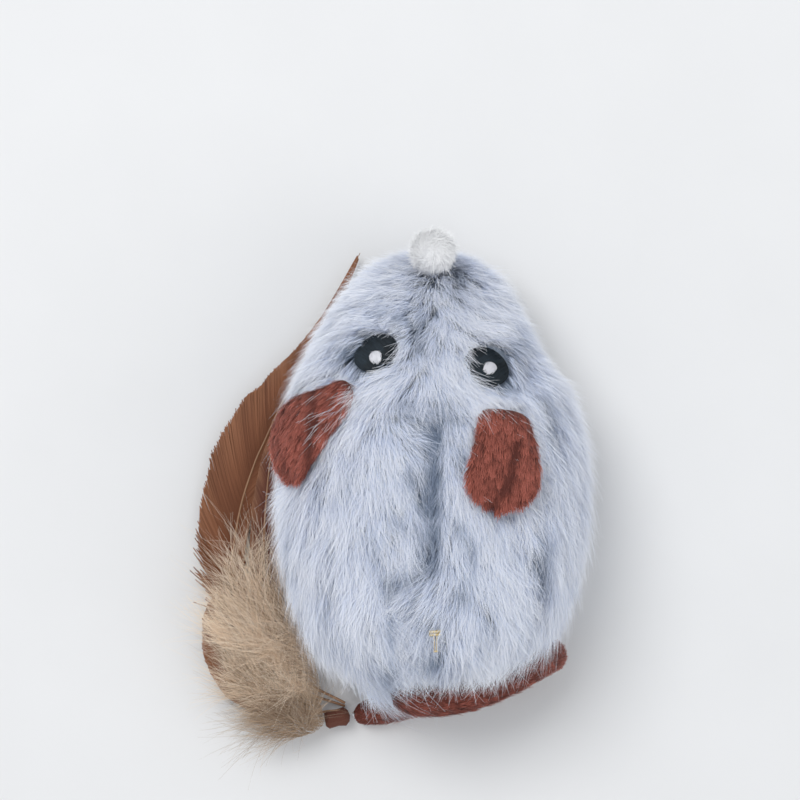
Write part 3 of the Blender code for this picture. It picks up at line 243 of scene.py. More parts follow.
table_size = 6.0
table_paint = Finish("table_paint", 0.9)
table_grain = table_paint.noise(30, 2)
table_paint.give("Base Color", table_paint.mixed(table_grain, (0.79, 0.79, 0.79), (0.83, 0.83, 0.83)))
table_corners = [(x * table_size / 2, y * table_size / 2, 0) for x, y in ((-1, -1), (1, -1), (1, 1), (-1, 1))]
table_mesh = new_mesh("table", table_corners, [(0, 1, 2, 3)], False)
table = new_object("table", table_mesh, table_paint.material)

bpy.context.scene.view_settings.view_transform = "Standard"
world = bpy.data.worlds.new("room")
world.use_nodes = True
bpy.context.scene.world = world
room = Graph(world.node_tree)
world.node_tree.nodes.clear()
ray = room.node("ShaderNodeLightPath")
seen = ray.also("Is Camera Ray").after("MAXIMUM", ray.also("Is Glossy Ray"))
seen = seen.after("MAXIMUM", ray.also("Is Transmission Ray"))
soft_light = room.node("ShaderNodeBackground", {}, {"Color": (0.93, 0.96, 1.0, 1), "Strength": 0.60})
backdrop = room.node("ShaderNodeBackground", {}, {"Color": (0.93, 0.93, 0.93, 1), "Strength": 1.0})
sky = room.node("ShaderNodeMixShader", {}, {0: seen, 1: soft_light, 2: backdrop})
room.node("ShaderNodeOutputWorld", {}, {"Surface": sky})


def softbox(name, place, aim, size, power):
    lamp = bpy.data.lights.new(name, "AREA")
    lamp.shape = "DISK"
    lamp.size = size
    lamp.energy = power
    holder = bpy.data.objects.new(name, lamp)
    holder.location = place
    holder.rotation_euler = (Vector(aim) - Vector(place)).to_track_quat("-Z", "Y").to_euler()
    bpy.context.scene.collection.objects.link(holder)


softbox("key_light", (0.32, -0.42, 1.0), (0, 0, 0), 0.6, 6.0)
softbox("fill_light", (-0.7, 0.35, 0.8), (0, 0, 0), 0.9, 1.8)

# Plush cover
# A knitted slate backing, sewn to an egg shape, carries a long bluish white pile. The strands are dark at the root and
# pale at the tip, lie back from the nose, part along the middle seam and hang down the sides nearly to the floor.

body_length = 94.5 * mm
body_width = 66 * mm
body_height = 52.5 * mm
nose_y = axle_y - 54 * mm
widest_level = 15 * mm
upper_power = 2.6
lower_power = 6.0
pile_overhang = 2.5 * mm
pile_depths = ((0.0, 2.0 * mm), (0.2, 2.4 * mm), (0.45, 3.3 * mm), (1.0, 3.6 * mm))
backing_thickness = 1.0 * mm
hem_level = 7.0 * mm
press_depth = 2.2 * mm
pixel = camera_height / focal_pixels
width_shares = (
    (0.0, 0.0), (0.02, 0.27), (0.05, 0.41), (0.1, 0.555), (0.16, 0.675), (0.22, 0.775), (0.32, 0.91),
    (0.44, 0.985), (0.58, 1.0), (0.72, 0.96), (0.82, 0.88), (0.9, 0.755), (0.95, 0.58), (0.98, 0.38), (1.0, 0.0),
)
height_shares = (
    (0.0, 0.0), (0.02, 0.20), (0.05, 0.33), (0.1, 0.47), (0.16, 0.58), (0.22, 0.67), (0.32, 0.80),
    (0.44, 0.91), (0.58, 0.985), (0.66, 1.0), (0.78, 0.965), (0.88, 0.82), (0.94, 0.63), (0.98, 0.38), (1.0, 0.0),
)
depth_shares = (
    (0.0, 0.0), (0.02, 0.48), (0.05, 0.78), (0.08, 0.93), (0.12, 0.99), (0.16, 1.0), (0.32, 1.0),
    (0.58, 1.0), (0.8, 0.99), (0.88, 0.93), (0.94, 0.77), (0.98, 0.48), (1.0, 0.0),
)


def share_at(table, place):
    """A smooth curve through (place, size) shares, read on a scale that bunches up at both ends."""
    knots = [math.acos(1 - 2 * share) for share, size in table]
    sizes = [size for share, size in table]
    at = math.acos(1 - 2 * min(max(place, 0), 1))
    span = next((k for k in range(len(knots) - 2) if at < knots[k + 1]), len(knots) - 2)
    slopes = []
    for k in (span, span + 1):
        before, after = max(k - 1, 0), min(k + 1, len(knots) - 1)
        slopes.append((sizes[after] - sizes[before]) / (knots[after] - knots[before]))
    width = knots[span + 1] - knots[span]
    t = (at - knots[span]) / width
    start = (2 * t ** 3 - 3 * t ** 2 + 1) * sizes[span] + (t ** 3 - 2 * t ** 2 + t) * width * slopes[0]
    end = (3 * t ** 2 - 2 * t ** 3) * sizes[span + 1] + (t ** 3 - t ** 2) * width * slopes[1]
    return start + end


def interpolated(table, places):
    return np.interp(places, [place for place, size in table], [size for place, size in table])


def skin_rows(depth, rings, sides):
    """Rings of points round the egg form, from the nose to the rump, under the pile or further in by a depth."""
    rows = []
    for ring in range(rings + 1):
        place = (1 - math.cos(math.pi * (ring + 0.02) / (rings + 0.04))) / 2
        inset = float(interpolated(pile_depths, place)) + depth
        y = nose_y + inset + (body_length - 2 * inset) * place
        half = (body_width / 2 - inset) * share_at(width_shares, place)
        top = (body_height - widest_level - inset) * share_at(height_shares, place)
        low = (widest_level - max(inset - pile_overhang, 0)) * share_at(depth_shares, place)
        row = []
        for side in range(sides):
            angle = math.tau * side / sides
            across, up = math.cos(angle), math.sin(angle)
            power, reach = (upper_power, top) if up > 0 else (lower_power, low)
            x = math.copysign(abs(across) ** (2 / power), across) * half
            z = math.copysign(abs(up) ** (2 / power), up) * reach
            row.append((body_x + x, y, widest_level + z))
        rows.append(row)
    return rows


def in_picture(points):
    """Where points show in the picture."""
    size = focal_pixels / (camera_height - points[:, 2])
    half = picture_pixels / 2
    return np.stack([half - (points[:, 0] - camera_x) * size, half + (points[:, 1] - camera_y) * size], 1)


def mesh_arrays(mesh):
    points = np.empty(len(mesh.vertices) * 3)
    mesh.vertices.foreach_get("co", points)
    normals = np.empty(len(mesh.vertices) * 3)
    mesh.vertices.foreach_get("normal", normals)
    return points.reshape(-1, 3), normals.reshape(-1, 3)


def unit_rows(rows):
    return rows / np.maximum(np.linalg.norm(rows, axis=1, keepdims=True), 1e-9)


eye_spots = [in_picture(np.array([middle(f"{hand}_eye")]))[0] for hand in ("left", "right")]
eye_half_x, eye_half_y = 22, 20


def from_eyes(seen_at):
    """How far places in the picture lie from the nearer eye, where 1 is its edge."""
    return np.min([np.linalg.norm((seen_at - spot) / (eye_half_x, eye_half_y), axis=1) for spot in eye_spots], axis=0)


def outer_edges(points):
    """The sides of the smallest convex shape round points of the picture: their outward ways and offsets."""
    order = sorted(map(tuple, points))
    corners = []
    for run in (order, order[::-1]):
        part = []
        for x, y in run:
            while len(part) > 1:
                (ax, ay), (bx, by) = part[-2:]
                if (bx - ax) * (y - ay) > (by - ay) * (x - ax):
                    break
                part.pop()
            part.append((x, y))
        corners += part[:-1]
    corners = np.array(corners)
    sides = np.roll(corners, -1, 0) - corners
    ways = unit_rows(np.stack([sides[:, 1], -sides[:, 0]], 1))
    return ways, (ways * corners).sum(1)


ear_edges = [outer_edges(in_picture(mesh_arrays(nodes[f"{hand}_ear"].data)[0])) for hand in ("left", "right")]


def under_ears(seen_at):
    """How far places in the picture lie inside the outline of an ear, in pixels."""
    return np.max([-(seen_at @ ways.T - offsets).max(1) for ways, offsets in ear_edges], axis=0)


def soft_spot(seen_at, spot, half_sizes):
    """A share that is 1 at a spot of the picture and fades to 0 round it."""
    return np.exp(-(((seen_at - spot) / half_sizes) ** 2).sum(1))


def squeezed(seen_at):
    """How far the pile is pressed in on the right of the muzzle and the rump, from 0 to 1."""
    muzzle, rump = soft_spot(seen_at, (540, 315), (50, 75)), soft_spot(seen_at, (530, 690), (70, 50))
    return (muzzle + rump).clip(0, 1)


def skin_mesh(name, depth, rings, sides, lowest):
    """The skin of the body as a surface that is open below a level and comes up to the eyes."""
    rows = skin_rows(depth, rings, sides)
    points = [point for row in rows for point in row]
    faces = []
    for ring in range(rings):
        for side in range(sides):
            after = (side + 1) % sides
            here, beyond = ring * sides, (ring + 1) * sides
            corners = (here + side, here + after, beyond + after, beyond + side)
            if max(points[k][2] for k in corners) > lowest:
                faces.append(corners)
    faces.append(tuple(range(sides))[::-1])
    faces.append(tuple(rings * sides + k for k in range(sides)))
    bm = bmesh.new()
    made = [bm.verts.new((x, y, max(z, lowest))) for x, y, z in points]
    for corners in faces:
        bm.faces.new([made[k] for k in corners])
    bmesh.ops.delete(bm, geom=[v for v in bm.verts if not v.link_faces], context="VERTS")
    bmesh.ops.remove_doubles(bm, verts=bm.verts, dist=0.02 * mm)
    bmesh.ops.recalc_face_normals(bm, faces=bm.faces)
    mesh = bpy.data.meshes.new(name)
    bm.to_mesh(mesh)
    bm.free()
    spots, normals = mesh_arrays(mesh)
    seen_at = in_picture(spots)
    eye_rise = pile_depths[1][1] - 0.1 * mm
    raised = np.where(normals[:, 2] > 0.1, np.exp(-(from_eyes(seen_at) / 1.05) ** 8), 0) * eye_rise
    raised -= squeezed(seen_at) * np.clip(1.2 - normals[:, 2], 0, 1) * press_depth
    mesh.vertices.foreach_set("co", (spots + normals * raised[:, None]).ravel())
    mesh.shade_smooth()
    return mesh


backing_knit = Finish("slate_knit", 0.95)
knit_place = backing_knit.place()
knit_cells = backing_knit.node("ShaderNodeTexVoronoi", {}, {"Vector": knit_place, "Scale": 1500.0}, "Distance")
knit_shade = backing_knit.noise(220)
backing_knit.give("Base Color", backing_knit.mixed(knit_shade, (0.13, 0.16, 0.20), (0.24, 0.28, 0.34)))
backing_knit.give("Normal", backing_knit.bumps(knit_cells, 0.15 * mm))

backing = new_object("plush_backing", skin_mesh("plush_backing", 0.0, 70, 84, hem_level), backing_knit.material)
wall = backing.modifiers.new("wall", "SOLIDIFY")
wall.thickness = backing_thickness
wall.offset = -1
wall.use_rim = True
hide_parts("plush_cover")
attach(backing, "chassis")

# Where the comb runs, in the picture: a place, and the way that the strands lie there
comb_strokes = (
    (433, 262, 0.0, 1.0), (412, 272, -0.75, 0.6), (388, 280, -0.85, 0.5), (412, 293, -0.6, 0.75),
    (380, 298, -0.9, 0.4), (356, 310, -0.6, 0.78), (340, 335, -0.5, 0.86), (400, 318, -0.93, 0.36),
    (372, 322, -0.8, 0.6), (419, 322, -0.6, 0.78), (452, 283, 0.3, 0.95), (441, 312, 0.35, 0.93),
    (462, 300, 0.5, 0.86), (482, 315, 0.62, 0.78), (495, 333, 0.6, 0.78), (424, 348, -0.1, 1.0),
    (436, 345, 0.3, 0.95), (455, 345, 0.55, 0.83), (325, 340, -0.5, 0.85), (313, 366, -0.5, 0.85),
    (392, 366, -0.85, 0.5), (376, 385, -0.5, 0.86), (410, 380, -0.6, 0.8), (362, 400, -0.45, 0.9),
    (453, 375, 0.55, 0.83), (472, 392, 0.7, 0.7), (502, 397, 0.5, 0.86), (520, 352, 0.45, 0.9),
    (543, 352, 0.35, 0.93), (524, 395, 0.5, 0.85), (428, 385, 0.1, 1.0), (418, 400, 0.75, 0.6),
    (405, 412, 0.75, 0.65), (396, 425, 0.6, 0.8), (412, 432, 0.65, 0.75), (436, 404, -0.35, 0.94),
    (429, 422, -0.3, 0.95), (450, 408, 0.65, 0.75), (462, 425, 0.6, 0.8), (447, 432, 0.45, 0.9),
    (383, 410, -0.2, 0.98), (368, 430, 0.05, 1.0), (385, 450, 0.25, 0.97), (350, 440, -0.2, 0.98),
    (338, 480, -0.1, 1.0), (372, 485, 0.1, 1.0), (405, 462, 0.45, 0.9), (400, 490, 0.35, 0.94),
    (424, 460, 0.3, 0.95), (423, 492, -0.45, 0.9), (418, 522, -0.5, 0.86), (436, 470, 0.2, 0.98),
    (438, 500, 0.3, 0.95), (455, 480, 0.38, 0.92), (463, 505, 0.35, 0.94), (448, 462, 0.4, 0.92),
    (402, 535, 0.5, 0.87), (388, 510, 0.2, 0.98), (440, 530, 0.2, 0.98), (455, 535, 0.3, 0.95),
    (472, 545, 0.25, 0.97), (485, 525, 0.15, 0.99), (510, 525, 0.0, 1.0), (540, 480, 0.05, 1.0),
    (552, 430, 0.15, 0.99), (566, 470, 0.1, 1.0), (531, 555, 0.0, 1.0), (428, 552, -0.7, 0.7),
    (412, 568, -0.9, 0.42), (430, 572, -0.8, 0.6), (420, 590, -0.7, 0.7), (438, 590, -0.65, 0.76),
    (430, 612, -0.6, 0.8), (452, 583, -0.5, 0.86), (394, 570, 0.1, 1.0), (394, 600, 0.25, 0.97),
    (400, 618, 0.5, 0.85), (404, 640, 0.55, 0.83), (390, 640, 0.5, 0.86), (418, 640, -0.5, 0.86),
    (414, 665, -0.55, 0.83), (430, 672, -0.4, 0.92), (445, 610, 0.0, 1.0), (452, 624, 0.6, 0.8),
    (468, 600, 0.35, 0.94), (480, 618, 0.6, 0.8), (474, 642, 0.15, 0.99), (466, 666, -0.35, 0.94),
    (450, 650, 0.1, 1.0), (448, 685, -0.3, 0.95), (492, 600, 0.3, 0.95), (500, 630, -0.1, 1.0),
    (500, 660, -0.35, 0.94), (480, 690, -0.3, 0.95), (520, 600, -0.1, 1.0), (520, 640, -0.3, 0.95),
    (545, 600, -0.3, 0.95), (560, 560, -0.15, 1.0), (566, 520, 0.0, 1.0), (535, 660, -0.4, 0.9),
    (345, 540, 0.0, 1.0), (320, 520, -0.05, 1.0), (298, 480, -0.1, 1.0), (290, 560, 0.05, 1.0),
    (370, 560, 0.05, 1.0), (342, 600, 0.08, 1.0), (365, 620, 0.1, 1.0), (310, 620, 0.2, 0.98),
    (350, 650, 0.25, 0.97), (375, 670, 0.35, 0.94), (330, 670, 0.4, 0.92), (372, 700, 0.28, 0.96),
    (395, 690, 0.4, 0.92),
)
stroke_reach = 11
# Places in the picture where the pile opens and shows its slate roots, and where its strands are painted darker as
# shade: middle, half sizes, turn in degrees, depth
open_and_shaded_pile = (
    (457, 284, 14, 18, 0, 0.4), (451, 302, 12, 10, 0, 0.25), (422, 334, 12, 26, 0, 0.5),
    (424, 358, 10, 14, 0, 0.5), (351, 356, 9, 13, 20, 0.5), (378, 320, 15, 7, -20, 0.4),
    (400, 326, 14, 8, -20, 0.5), (516, 351, 8, 20, -15, 0.45), (530, 334, 6, 20, -25, 0.4),
    (410, 366, 14, 8, 0, 0.3), (395, 418, 14, 7, 20, 0.4), (412, 418, 16, 8, 35, 0.6),
    (452, 420, 14, 9, 30, 0.5), (434, 438, 6, 22, 0, 0.75), (433, 474, 7, 20, 0, 0.8),
    (409, 480, 6, 9, 20, 0.45), (425, 503, 7, 17, 12, 0.7), (431, 512, 6, 20, 0, 0.95),
    (393, 508, 4, 11, 0, 0.4), (403, 527, 9, 8, 30, 0.5), (431, 538, 9, 20, 0, 0.95),
    (430, 549, 9, 10, 0, 0.95), (424, 565, 11, 11, 0, 0.85), (393, 581, 6, 15, 0, 0.55),
    (412, 576, 13, 6, -20, 0.5), (414, 597, 9, 4, -30, 0.5), (394, 612, 5, 6, 0, 0.75),
    (408, 625, 5, 6, 0, 0.65), (421, 604, 9, 9, 0, 0.35), (460, 593, 8, 10, 0, 0.5),
    (482, 615, 5, 13, -35, 0.55), (491, 627, 5, 6, 0, 0.4), (530, 568, 6, 24, 0, 0.65),
    (529, 590, 5, 9, 0, 0.7), (436, 645, 7, 10, 0, 0.85), (393, 656, 7, 10, -35, 0.65),
    (436, 622, 9, 9, 0, 0.5), (416, 644, 8, 10, 0, 0.3), (340, 558, 4, 13, 0, 0.55), (346, 582, 6, 8, 0, 0.4),
    (342, 620, 4, 15, -10, 0.35), (378, 681, 10, 10, -20, 0.3), (477, 634, 10, 4, -20, 0.4),
    (532, 546, 7, 13, 0, 0.45), (541, 432, 5, 15, 0, 0.6), (535, 403, 9, 8, 0, 0.4),
    (504, 395, 11, 6, 0, 0.35), (469, 541, 4, 13, -20, 0.5), (455, 527, 4, 11, -20, 0.5),
    (378, 538, 4, 13, 0, 0.5), (463, 463, 5, 10, -35, 0.45), (306, 560, 4, 22, 5, 0.4),
    (296, 630, 5, 26, -8, 0.5), (356, 470, 3, 16, 0, 0.35), (366, 515, 3, 18, 0, 0.35),
    (330, 500, 3, 18, 0, 0.3), (505, 560, 4, 18, -10, 0.3), (512, 612, 4, 18, 12, 0.3),
    (556, 600, 6, 22, 12, 0.3), (356, 620, 4, 20, -5, 0.3),
)


def combed(points, normals):
    """The way that the strands lie at each point of the body's skin."""
    seen_at = in_picture(points)
    strokes = np.array(comb_strokes)
    gaps = ((seen_at[:, None, :] - strokes[None, :, :2]) ** 2).sum(2)
    weights = np.exp(-gaps / (2 * stroke_reach ** 2)) + 1e-7 / (gaps + 1) ** 2
    flow = unit_rows(weights @ strokes[:, 2:])
    ways = np.stack([-flow[:, 0], flow[:, 1], np.zeros(len(flow))], 1)
    side = np.clip(1 - normals[:, 2] / 0.6, 0, 1)
    ways[:, 2] -= 0.55 * side
    ways -= normals * (ways * normals).sum(1, keepdims=True)
    return unit_rows(ways)


def opening_and_shade_at(seen_at):
    """How far the pile opens, and how deep its painted shade is, at each place of the picture, from 0 to 1."""
    depth = np.zeros(len(seen_at))
    for px, py, half_x, half_y, turn, share in open_and_shaded_pile:
        c, s = math.cos(math.radians(turn)), math.sin(math.radians(turn))
        off = seen_at - (px, py)
        a, b = off[:, 0] * c + off[:, 1] * s, off[:, 1] * c - off[:, 0] * s
        depth = np.maximum(depth, min(1.25 * share, 1) * np.exp(-((a / half_x) ** 2 + (b / half_y) ** 2)))
    return depth


def drifting(points, scale, seed):
    """A slow noise over points, about from -1 to 1."""
    return np.array([noise.noise(Vector(point) * scale + Vector((seed, 0, 0))) for point in points]) * 1.6


def put(mesh, name, values):
    values = np.asarray(values, np.float32)
    kind = "FLOAT_VECTOR" if values.ndim == 2 else "FLOAT"
    layer = mesh.attributes.new(name, kind, "POINT")
    layer.data.foreach_set("vector" if values.ndim == 2 else "value", values.ravel())


def put_all(mesh, **layers):
    """Puts layers on a mesh, where one number stands for all its points."""
    for name, values in layers.items():
        put(mesh, name, np.full(len(mesh.vertices), values) if np.ndim(values) == 0 else values)


def tree_with(name, inputs):
    """An empty geometry tree with named inputs, and the values that come out of them."""
    tree = bpy.data.node_groups.new(name, "GeometryNodeTree")
    tree.interface.new_socket("Geometry", in_out="OUTPUT", socket_type="NodeSocketGeometry")
    for label, kind in inputs:
        tree.interface.new_socket(label, in_out="INPUT", socket_type="NodeSocket" + kind)
    graph = Graph(tree)
    entry = tree.nodes.new("NodeGroupInput")
    return graph, {label: Value(graph, entry.outputs[label]) for label, kind in inputs}


def stored(graph, geometry, name, value, kind="FLOAT", domain="POINT"):
    sockets = {"Geometry": geometry, "Name": name, "Value": value}
    return graph.node("GeometryNodeStoreNamedAttribute", {"data_type": kind, "domain": domain}, sockets)


def named(graph, name, kind="FLOAT"):
    return graph.node("GeometryNodeInputNamedAttribute", {"data_type": kind}, {"Name": name})


def named_vectors(graph, *names):
    return [named(graph, name, "FLOAT_VECTOR") for name in names]


def chance(graph, low, high, seed, kind="FLOAT", who=None):
    sockets = {"Min": low, "Max": high, "Seed": seed}
    if who is not None:
        sockets["ID"] = who
    return graph.node("FunctionNodeRandomValue", {"data_type": kind}, sockets)


def floats(*names):
    return tuple((name, "Float") for name in names)


strand_sizes = ("Segments", "Width", "Taper", "Wrap Radius", "Lock Pull", "Material")
strand_inputs = (
    ("Points", "Geometry"), ("Segments", "Int"), *floats("Width", "Taper", "Wrap Radius", "Lock Pull"),
    ("Material", "Material"),
)
floor_gap = 0.15 * mm


def strand_tree():
    """One flat tapering strand on each point, from the point's own root, up, ahead, reach, lock, bend and tone."""
    graph, given = tree_with("strands", strand_inputs)
    rows = given["Segments"] + 1.0
    grid_sizes = {"Size X": 1.0, "Size Y": 1.0, "Vertices X": 2, "Vertices Y": rows}
    grid = graph.node("GeometryNodeMeshGrid", {}, grid_sizes, "Mesh")
    x, y = graph.node("GeometryNodeInputPosition").split()[:2]
    grid = stored(graph, grid, "along", y + 0.5)
    grid = stored(graph, grid, "beside", x * 2.0)
    spread = graph.node("GeometryNodeInstanceOnPoints", {}, {"Points": given["Points"], "Instance": grid})
    solid = graph.node("GeometryNodeRealizeInstances", {}, {"Geometry": spread})
    along, beside, reach, rise, roll, tone = [
        named(graph, name) for name in ("along", "beside", "reach", "rise", "roll", "tone")]
    root, up, ahead, lock, bend = named_vectors(graph, "root", "up", "ahead", "lock", "bend")
    left = 1.0 - along
    run = reach * along
    place = root + ahead * run + up * (rise * (1.0 - left * left))
    place = place - up * (run * run / (given["Wrap Radius"] * 2.0))
    place = place + lock * (along ** 1.4 * given["Lock Pull"]) + bend * (run * along)
    flank = ahead.cross(up).unit() * roll.after("COSINE") + up * roll.after("SINE")
    width = given["Width"] * (1.0 - given["Taper"] * along) * 0.5
    x, y, z = (place + flank * (beside * width)).split()
    place = graph.node("ShaderNodeCombineXYZ", {}, {0: x, 1: y, 2: z.after("MAXIMUM", floor_gap)})
    solid = graph.node("GeometryNodeSetPosition", {}, {"Geometry": solid, "Position": place})
    across = tone * 0.96 + beside * 0.004 + 0.02
    spot = graph.node("ShaderNodeCombineXYZ", {}, {0: across, 1: along * 0.96 + 0.02, 2: 0.0})
    solid = stored(graph, solid, "OFBake", spot, "FLOAT2", "CORNER")
    solid = graph.node("GeometryNodeSetMaterial", {}, {"Geometry": solid, "Material": given["Material"]})
    solid = graph.node("GeometryNodeSetShadeSmooth", {}, {0: solid})
    graph.node("NodeGroupOutput", {}, {0: solid})
    return graph.tree


strands = strand_tree()
pile_inputs = (
    ("Skin", "Geometry"),
    *floats("Strands Per Area", "Lock Spacing", "Stray Angle", "Lock Stray", "Length Spread", "Curl"),
    ("Segments", "Int"),
    *floats("Width", "Taper", "Loft", "Wrap Radius", "Lock Pull", "Roll", "Tone Spread", "Flatness", "Parting"),
    ("Seed", "Int"), ("Material", "Material"),
)
most_locks_per_area = 8e6


def pile_tree():
    """Strands sown over a skin that says, at each point, how they are combed, how long and how pale they are, with
    painted shade where they pass over an opening.
    """
    graph, given = tree_with("pile", pile_inputs)
    seed = given["Seed"]
    skin = given["Skin"]
    density = given["Strands Per Area"] * named(graph, "sown")
    sow = "GeometryNodeDistributePointsOnFaces"
    sown = graph.node(sow, {}, {"Mesh": skin, "Density": density, "Seed": seed}, "Points")
    locks = graph.node(sow, {"distribute_method": "POISSON"}, {
        "Mesh": skin, "Distance Min": given["Lock Spacing"], "Density Max": most_locks_per_area,
        "Density Factor": 1.0, "Seed": seed + 1.0}, "Points")
    where = graph.node("GeometryNodeInputPosition")
    nearest = graph.node("GeometryNodeSampleNearest", {}, {"Geometry": locks, "Sample Position": where})
    lock_place = graph.node("GeometryNodeSampleIndex", {"data_type": "FLOAT_VECTOR", "domain": "POINT"}, {
        "Geometry": locks, "Value": where, "Index": nearest})
    up = sown.also("Normal")
    pull = lock_place - where

    def scatter(step, who=None):
        return chance(graph, (-1, -1, -1), (1, 1, 1), seed + step, "FLOAT_VECTOR", who)

    def about(middle_value, less, more, step, who=None):
        return chance(graph, middle_value - less, middle_value + more, seed + step, who=who)

    stray = scatter(2.0) * given["Stray Angle"] + scatter(3.0, nearest) * given["Lock Stray"]
    ahead = (named(graph, "comb", "FLOAT_VECTOR") + stray - up * (stray.dot(up) * given["Flatness"])).unit()
    spread, tones = given["Length Spread"], given["Tone Spread"]
    longer = about(1.0, spread, spread * 0.5, 4.0) * about(1.0, spread * 0.6, spread * 0.6, 5.0, nearest)
    bend = scatter(7.0) * given["Curl"]
    tone = named(graph, "tone") + chance(graph, tones * -1.0, tones, seed + 8.0)
    tone = tone + chance(graph, tones * -1.0, tones, seed + 9.0, who=nearest)
    for name, value in (("root", where), ("up", up), ("ahead", ahead), ("lock", pull), ("bend", bend)):
        sown = stored(graph, sown, name, value, "FLOAT_VECTOR")
    for name, value in (
        ("reach", named(graph, "length") * longer),
        ("rise", given["Loft"] * named(graph, "lift") * chance(graph, 0.8, 1.2, seed + 6.0)),
        ("tone", tone.clamped()),
        ("roll", chance(graph, given["Roll"] * -1.0, given["Roll"], seed + 10.0)),
    ):
        sown = stored(graph, sown, name, value)
    links = {"Points": sown, **{name: given[name] for name in strand_sizes}}
    made = graph.node("GeometryNodeGroup", {"node_tree": strands}, links)
    # Parting paints shade: each strand's tone is lowered where it passes over an opening of the pile.
    opening_and_shade = graph.node("GeometryNodeSampleNearestSurface", {"data_type": "FLOAT"}, {
        "Mesh": skin, "Value": named(graph, "open"), "Sample Position": where})
    x, y = named(graph, "OFBake", "FLOAT_VECTOR").split()[:2]
    spot = graph.node("ShaderNodeCombineXYZ", {}, {0: x * (1.0 - opening_and_shade * given["Parting"]), 1: y, 2: 0.0})
    made = stored(graph, made, "OFBake", spot, "FLOAT2", "CORNER")
    graph.node("NodeGroupOutput", {}, {0: made})
    return graph.tree


pile = pile_tree()
growth_layers = {
    "root", "up", "ahead", "reach", "rise", "lock", "bend", "roll", "beside", "along",
    "tone", "comb", "length", "lift", "sown", "open",
}


def grown(name, skin, tree, material, **sizes):
    """Grows strands on a skin mesh and returns them as a plain mesh in a new object."""
    holder = bpy.data.objects.new(name + "_skin", skin)
    bpy.context.scene.collection.objects.link(holder)
    growth = holder.modifiers.new("growth", "NODES")
    growth.node_group = tree
    for item in tree.interface.items_tree:
        if item.item_type != "SOCKET" or item.in_out != "INPUT":
            continue
        key = item.name.lower().replace(" ", "_")
        if item.name == "Material":
            growth[item.identifier] = material
        elif key in sizes:
            growth[item.identifier] = sizes[key]
    bpy.context.view_layer.update()
    graph = bpy.context.evaluated_depsgraph_get()
    mesh = bpy.data.meshes.new_from_object(holder.evaluated_get(graph))
    bpy.data.objects.remove(holder)
    mesh.name = name
    for layer in [a.name for a in mesh.attributes if a.name in growth_layers]:
        mesh.attributes.remove(mesh.attributes[layer])
    return new_object(name, mesh)


def pile_finish(name, root, middle_color, tip, dark_tip, root_end=0.25, tip_start=0.62):
    """A strand's colour runs from root to tip, and darker strands keep their root colour for longer."""
    finish = Finish(name, 0.75, Sheen_Weight=0.15, Sheen_Roughness=0.5, Specular_IOR_Level=0.25)
    tone, along = finish.node("ShaderNodeUVMap", {"uv_map": "OFBake"}).split()[:2]
    stops = (0.0, root), (root_end, root), (tip_start, middle_color), (1.0, tip)
    pale = finish.ramp((along + tone * 0.55 - 0.3).clamped(), *stops)
    dark = finish.mixed(along, root, dark_tip)
    finish.give("Base Color", finish.mixed(finish.level(tone, 0.12, 0.65, 0.0, 1.0), dark, pale))
    return finish


pale_pile = pile_finish(
    "bluish_white_pile", (0.155, 0.20, 0.275), (0.70, 0.77, 0.93), (0.93, 0.95, 1.0), (0.23, 0.29, 0.40),
    root_end=0.2, tip_start=0.55)
pile_lengths = (
    (0, 5.0 * mm), (0.08, 6.0 * mm), (0.2, 7.5 * mm), (0.32, 9.0 * mm),
    (0.45, 10.5 * mm), (0.7, 12.0 * mm), (0.9, 12.0 * mm), (1.0, 9.5 * mm),
)


